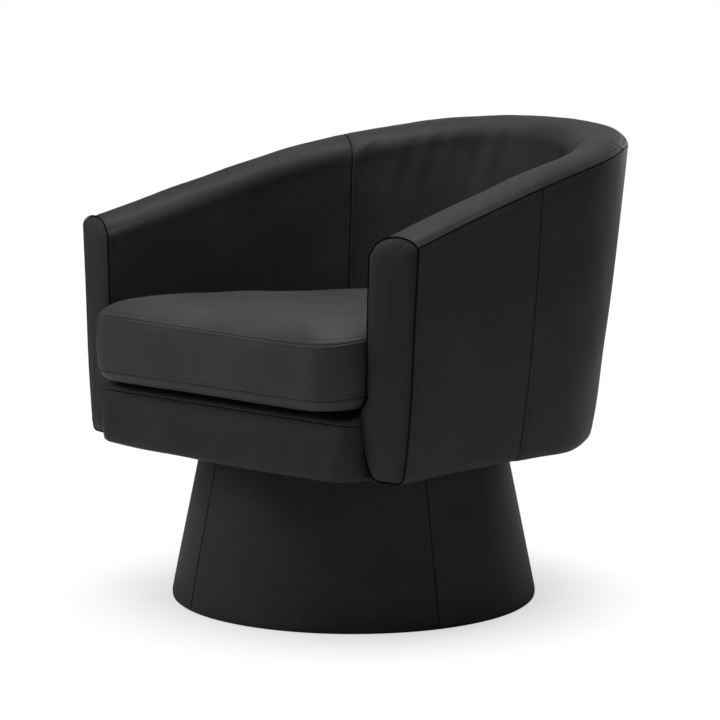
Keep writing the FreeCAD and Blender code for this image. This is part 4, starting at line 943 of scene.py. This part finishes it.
def cushion_ring(inset, count):
    """The cushion's plan at a depth in from its edge: matching points on both sides."""
    radius, centre = hollow(CUSHION_PLAN)
    radius = radius - 1.5 - inset
    front = CUSHION_FRONT + inset
    corner = max(CUSHION_CORNER - inset * 0.5, 12)
    arm_x, arm_y = radius * math.cos(SPLAY), centre + radius * math.sin(SPLAY)
    corner_y = front + corner
    side_x = arm_x + (arm_y - corner_y) * math.tan(SPLAY) - corner / math.cos(SPLAY)
    line = [(0.0, front), (side_x, front)]
    for t in np.linspace(-math.pi / 2, SPLAY, 16)[1:]:
        line.append((side_x + corner * math.cos(t), corner_y + corner * math.sin(t)))
    line.append((arm_x, arm_y))
    for t in np.linspace(SPLAY, math.pi / 2, 60)[1:]:
        line.append((radius * math.cos(t), centre + radius * math.sin(t)))
    line = np.array(line)
    run = line_run(line)
    half = along_line(line, run, np.linspace(0, run[-1], count // 2 + 1))
    other = half[1:-1][::-1] * np.array([-1, 1])
    return np.concatenate([half, other])


def corner_lift(x, y):
    """How far the arm presses the cushion's near front corner up."""
    return 9 * np.exp(-((x - 252) / 36) ** 2 - ((y + 240) / 36) ** 2)


def front_tilt(x, y):
    """The top seam of the front hangs lower to one side."""
    return -3.0 * np.clip(x / 150, -1, 1) * smooth((-150 - y) / 110)


def cushion_start(count):
    """Rows of rings for the three panels before the air goes in."""
    edge = cushion_ring(5.0, count)
    spine = np.stack([np.zeros(count), np.clip(edge[:, 1], -110, 95)], axis=1)
    low, seam_low, seam_top = CUSHION_LEVELS
    lifted = corner_lift(edge[:, 0], edge[:, 1])
    tilted = front_tilt(edge[:, 0], edge[:, 1])
    rows = []
    for f in np.linspace(1, 0.055, 9):
        at = edge * (1 - f) + spine * f
        rows.append(np.column_stack([at, low + 0.6 * lifted * (1 - f) ** 3]))
    for inset, z, part in ((14.0, low + 1.5, 0.65), (8.5, low + 6.5, 0.85)):
        rows.append(np.column_stack([cushion_ring(inset, count), z + lifted * part]))
    first_seam = len(rows)
    for t in np.linspace(0, 1, 9):
        inset = 5.0 - 2.6 * math.sin(math.pi * t)
        rows.append(np.column_stack([cushion_ring(inset, count),
                                     seam_low + (seam_top - seam_low) * t + lifted + tilted * t]))
    second_seam = len(rows) - 1
    reach = np.linalg.norm(edge - spine, axis=1)
    for f in np.linspace(0, 1, 31)[1:] ** 1.25:
        at = edge * (1 - f) + spine * f
        crown = 28 + 3 * smooth(-at[:, 0] / 180) - 10 * smooth((at[:, 1] + 150) / 250)
        lift = (crown * (1 - np.exp(-f * reach / 28)) + lifted * np.exp(-f * reach / 24)
                + tilted * np.exp(-f * reach / 60))
        rows.append(np.column_stack([at, seam_top + lift]))
    return np.array(rows), first_seam, second_seam


def puff(rows, pinned):
    """Cloth simulation of the cover: air pressure inside, and its pinned rows held."""
    levels, count = rows.shape[:2]
    keys, index, verts = {}, [], []
    for p in rows.reshape(-1, 3):
        key = tuple(np.round(p, 2))
        if key not in keys:
            keys[key] = len(verts)
            verts.append(p / 1000)
        index.append(keys[key])
    index = np.array(index).reshape(levels, count)
    loops = [list(dict.fromkeys(f)) for f in ring_quads(index)]
    mesh = bpy.data.meshes.new("cushion_blank")
    mesh.from_pydata(verts, [], [f for f in loops if len(f) > 2])
    mesh.update()
    obj = bpy.data.objects.new("cushion_blank", mesh)
    bpy.context.scene.collection.objects.link(obj)
    held = obj.vertex_groups.new(name="held")
    held.add(index[pinned].ravel().tolist(), 1, "REPLACE")
    cloth = obj.modifiers.new("cloth", "CLOTH")
    for name, value in {
            "quality": 6, "mass": 0.25, "tension_stiffness": 12, "compression_stiffness": 12,
            "shear_stiffness": 4, "bending_stiffness": 0.8, "use_pressure": True,
            "uniform_pressure_force": 4, "vertex_group_mass": "held", "pin_stiffness": 1}.items():
        setattr(cloth.settings, name, value)
    cloth.settings.effector_weights.gravity = 0
    cloth.point_cache.frame_start = 1
    cloth.point_cache.frame_end = PUFF_FRAMES
    for step in range(1, PUFF_FRAMES + 1):
        bpy.context.scene.frame_set(step)
    done = obj.evaluated_get(bpy.context.evaluated_depsgraph_get()).to_mesh()
    moved = np.array([v.co for v in done.vertices]) * 1000
    bpy.data.objects.remove(obj)
    bpy.context.scene.frame_set(1)
    return moved[index]


def cubic(rows, want):
    """Smooth in-between rows of one panel, by index along it."""
    last = len(rows) - 1
    k = np.clip(np.floor(want).astype(int), 0, last - 1)
    t = (want - k)[:, None, None]
    p0, p1 = rows[np.maximum(k - 1, 0)], rows[k]
    p2, p3 = rows[k + 1], rows[np.minimum(k + 2, last)]
    return 0.5 * (2 * p1 + (p2 - p0) * t + (2 * p0 - 5 * p1 + 4 * p2 - p3) * t * t
                  + (3 * p1 - p0 - 3 * p2 + p3) * t ** 3)


def finer_ring(rows):
    """Twice as many points round each ring."""
    wrapped = np.concatenate([rows[:, -1:], rows, rows[:, :2]], axis=1).transpose(1, 0, 2)
    return cubic(wrapped, np.arange(rows.shape[1] * 2) / 2 + 1).transpose(1, 0, 2)


def by_distance(panel, first, last):
    """A panel's rows laid out again by distance from its seams."""
    middle_run = lengths(panel.transpose(1, 0, 2), 1).mean(0)
    length = middle_run[-1]
    places = spread(length, first, last, 7.0) * length
    return cubic(panel, np.interp(places, middle_run, np.arange(len(panel)))), places, length


def pull_marks(x, y):
    total = np.zeros(x.shape)
    for px, away, length, slant in PULLS:
        py = CUSHION_FRONT + 6 + away
        dx, dy = math.sin(slant), math.cos(slant)
        along = (x - px) * dx + (y - py) * dy
        across = (x - px) * dy - (y - py) * dx
        total += bell(along, length / 2) * (2.0 * bell(across - 1.8, 1.9) - 1.8 * bell(across + 1.8, 2.0))
    return total


def keep_clear(rows):
    """Between the arms the cushion stays off the shell's leather."""
    radius, centre = hollow(CUSHION_PLAN)
    radius -= 2.0
    x, y = rows[:, :, 0], rows[:, :, 1]
    behind = y > centre + radius * math.sin(SPLAY)
    far = np.hypot(x, y - centre)
    pull = np.where(behind & (far > radius), radius / np.maximum(far, 1), 1)
    rows[:, :, 0] = x * pull
    rows[:, :, 1] = centre + (y - centre) * pull
    limit = radius / math.cos(SPLAY) + (centre - y) * math.tan(SPLAY)
    limit = limit + 3.5 * smooth((-246 - y) / 14)
    side = ~behind & (np.abs(x) > limit)
    rows[:, :, 0] = np.where(side, np.sign(x) * limit, rows[:, :, 0])


def cushion_rows():
    """Rings of the puffed cover, and the rows where its two seams lie."""
    rows, seam_low, seam_top = cushion_start(CUSHION_COUNT)
    start = rows.copy()
    rows = puff(rows, [*range(seam_low - 2), seam_low, seam_top])
    shift = rows - start
    far = np.linalg.norm(shift, axis=2, keepdims=True)
    shift = shift * np.minimum(1, PUFF_MOST / np.maximum(far, 1e-6))
    shift[seam_low:seam_top] *= 0.4
    top = start[seam_top:, :, 2]
    rise = shift[seam_top:, :, 2].max()
    shift[seam_top:] *= min(1, (CUSHION_CROWN - top.max()) / max(rise, 1e-6))
    rows = start + shift
    keep_clear(rows)
    return finer_ring(rows), seam_low, seam_top


def cushion_panel(name, panel, first, last, nodes, seed):
    """One panel of the cover: first and last say which of its ends is a seam."""
    panel, places, length = by_distance(panel, first, last)
    grid = panel.transpose(1, 0, 2)
    run, up = (np.arange(len(grid)) * 4.3)[:, None], places[None, :]
    move = np.zeros(grid.shape[:2])
    for used, e in ((first, up), (last, length - up)):
        if used:
            move -= 2.6 * np.clip(1 - e / 3.6, 0, 1) ** 2 + stitch_dent(e)
            move += puckers(run, e, seed, 0.3, 18)
    if name == "cushion_top":
        move += pull_marks(grid[:, :, 0], grid[:, :, 1])
        move += waves(grid[:, :, 0], grid[:, :, 1], 85, 0.8, 150) * smooth(up / 40)
        move *= np.clip((length - up) / 40, 0, 1)
    else:
        move += waves(run, up, seed + 4, 0.4, 120) * smooth(np.minimum(up, length - up) / 12)
    points = grid + grid_normals(grid, True) * move[:, :, None]
    if name == "cushion_under":
        points[:, :, 2] = np.maximum(points[:, :, 2], CUSHION_LEVELS[0] - 0.1)
    shown = grid_normals(points, True)
    closed = None
    if not last:
        closed = "last"
        shown[:, -1] = (0, 0, 1)
    elif not first:
        closed = "first"
        shown[:, 0] = (0, 0, -1)
    obj = thick_sheet(name, points, shown, 1.4, leather_seat_painted_light, "seat_cushion", True, closed)
    stand_in(nodes)
    ring = list(range(len(points))) + [0]
    if name == "cushion_top":
        stitch_row(points[ring, NEAR], shown[ring, NEAR], "seat_cushion")
    if first:
        seam_shade_line(points[ring, 0], shown[ring, 0], body="seat_cushion")


def make_cushion():
    rows, seam_low, seam_top = cushion_rows()
    cushion_panel("cushion_under", rows[:seam_low + 1], False, True, ["cushion_bottom_panel"], 81)
    cushion_panel("cushion_band", rows[seam_low:seam_top + 1], True, True, ["cushion_boxing"], 82)
    cushion_panel("cushion_top", rows[seam_top:], True, False, ["cushion_top_panel", "cushion_foam"], 83)


def make_zip():
    """Zip at the back of the cushion's band: its tape, with a raised ridge along the middle where the teeth
    lie.
    """
    low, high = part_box("cushion_zip")
    radius, centre = hollow(CUSHION_PLAN)
    radius -= 3.4
    half = math.asin(min(high.x * 1000 / radius, 0.99))
    middle = (low.z + high.z) * 500
    grid = np.array([[((radius - d) * math.cos(turn), centre + (radius - d) * math.sin(turn), middle + z)
                      for d, z in ZIP_SECTION]
                     for turn in np.linspace(math.pi / 2 - half, math.pi / 2 + half, 90)])
    obj = thick_sheet("zip_tape", grid, grid_normals(grid), 1.0, zip_nylon, "seat_cushion")
    stand_in(["cushion_zip"])


# Studio

def make_floor():
    """Pale floor that takes the chair's shadow and fades to plain white away from it."""
    size = FLOOR_SIZE
    mesh = bpy.data.meshes.new("floor")
    mesh.from_pydata([(-size, -size, 0), (size, -size, 0), (size, size, 0), (-size, size, 0)], [],
                     [(0, 1, 2, 3)])
    floor = bpy.data.objects.new("floor", mesh)
    bpy.context.scene.collection.objects.link(floor)
    material = bpy.data.materials.new("floor_white")
    n = Nodes(material, True)
    far = n.add("VectorMath", {0: n.add("TexCoord")["Object"]}, operation="LENGTH")["Value"]
    white = n.maths("MULTIPLY", n.seen_directly(), n.mapped(far, 0.27, 0.44, 0.66, 1.0))
    matt = n.add("BsdfDiffuse", {"Color": (0.86, 0.855, 0.85, 1)})[0]
    glow = n.add("Emission", {"Strength": 1})[0]
    n.add("OutputMaterial", {"Surface": n.add("MixShader", {0: white, 1: matt, 2: glow})[0]})
    mesh.materials.append(material)


def make_world():
    """White background with a little light from it."""
    world = bpy.data.worlds.new("studio")
    bpy.context.scene.world = world
    n = Nodes(world, True)
    fill, white = (n.add("Background", {"Color": (1, 1, 1, 1), "Strength": strength})[0]
                   for strength in (0.03, 1))
    n.add("OutputWorld", {"Surface": n.add("MixShader", {0: n.seen_directly(), 1: fill, 2: white})[0]})


def make_lights():
    for name, place, size, power in LAMPS:
        data = bpy.data.lights.new(name, "AREA")
        data.shape = "RECTANGLE"
        data.size, data.size_y = size
        data.energy = power
        lamp = bpy.data.objects.new(name, data)
        bpy.context.scene.collection.objects.link(lamp)
        lamp.location = place
        lamp.rotation_euler = (LAMP_AIM - Vector(place)).to_track_quat("-Z", "Y").to_euler()


def make_camera():
    """The photograph's view."""
    turn, pitch, tilt = CAMERA_ANGLES
    ahead = Vector((-math.sin(turn) * math.cos(pitch), math.cos(turn) * math.cos(pitch), -math.sin(pitch)))
    right = Vector((math.cos(turn), math.sin(turn), 0))
    up = right.cross(ahead)
    right, up = (right * math.cos(tilt) + up * math.sin(tilt), up * math.cos(tilt) - right * math.sin(tilt))
    data = bpy.data.cameras.new("camera")
    data.sensor_width = 36
    data.lens = FOCAL_PIXELS / FRAME_PIXELS * data.sensor_width
    data.shift_x = (FRAME_PIXELS / 2 - CENTRE_PIXELS[0]) / FRAME_PIXELS
    data.shift_y = (CENTRE_PIXELS[1] - FRAME_PIXELS / 2) / FRAME_PIXELS
    data.clip_end = 50
    camera = bpy.data.objects.new("camera", data)
    bpy.context.scene.collection.objects.link(camera)
    rows = [(right[k], up[k], -ahead[k], CAMERA_PLACE[k]) for k in range(3)]
    camera.matrix_world = Matrix((*rows, (0, 0, 0, 1)))
    bpy.context.scene.camera = camera


dress_cad()
make_shell()
make_facing(1, "right")
make_facing(-1, "left")
make_front()
make_base()
make_flats()
make_cushion()
make_zip()
make_stitches(thread)
make_seam_shade_lines(seam_shade_paint)
make_floor()
make_world()
make_lights()
make_camera()
bpy.context.scene.view_settings.view_transform = "Standard"
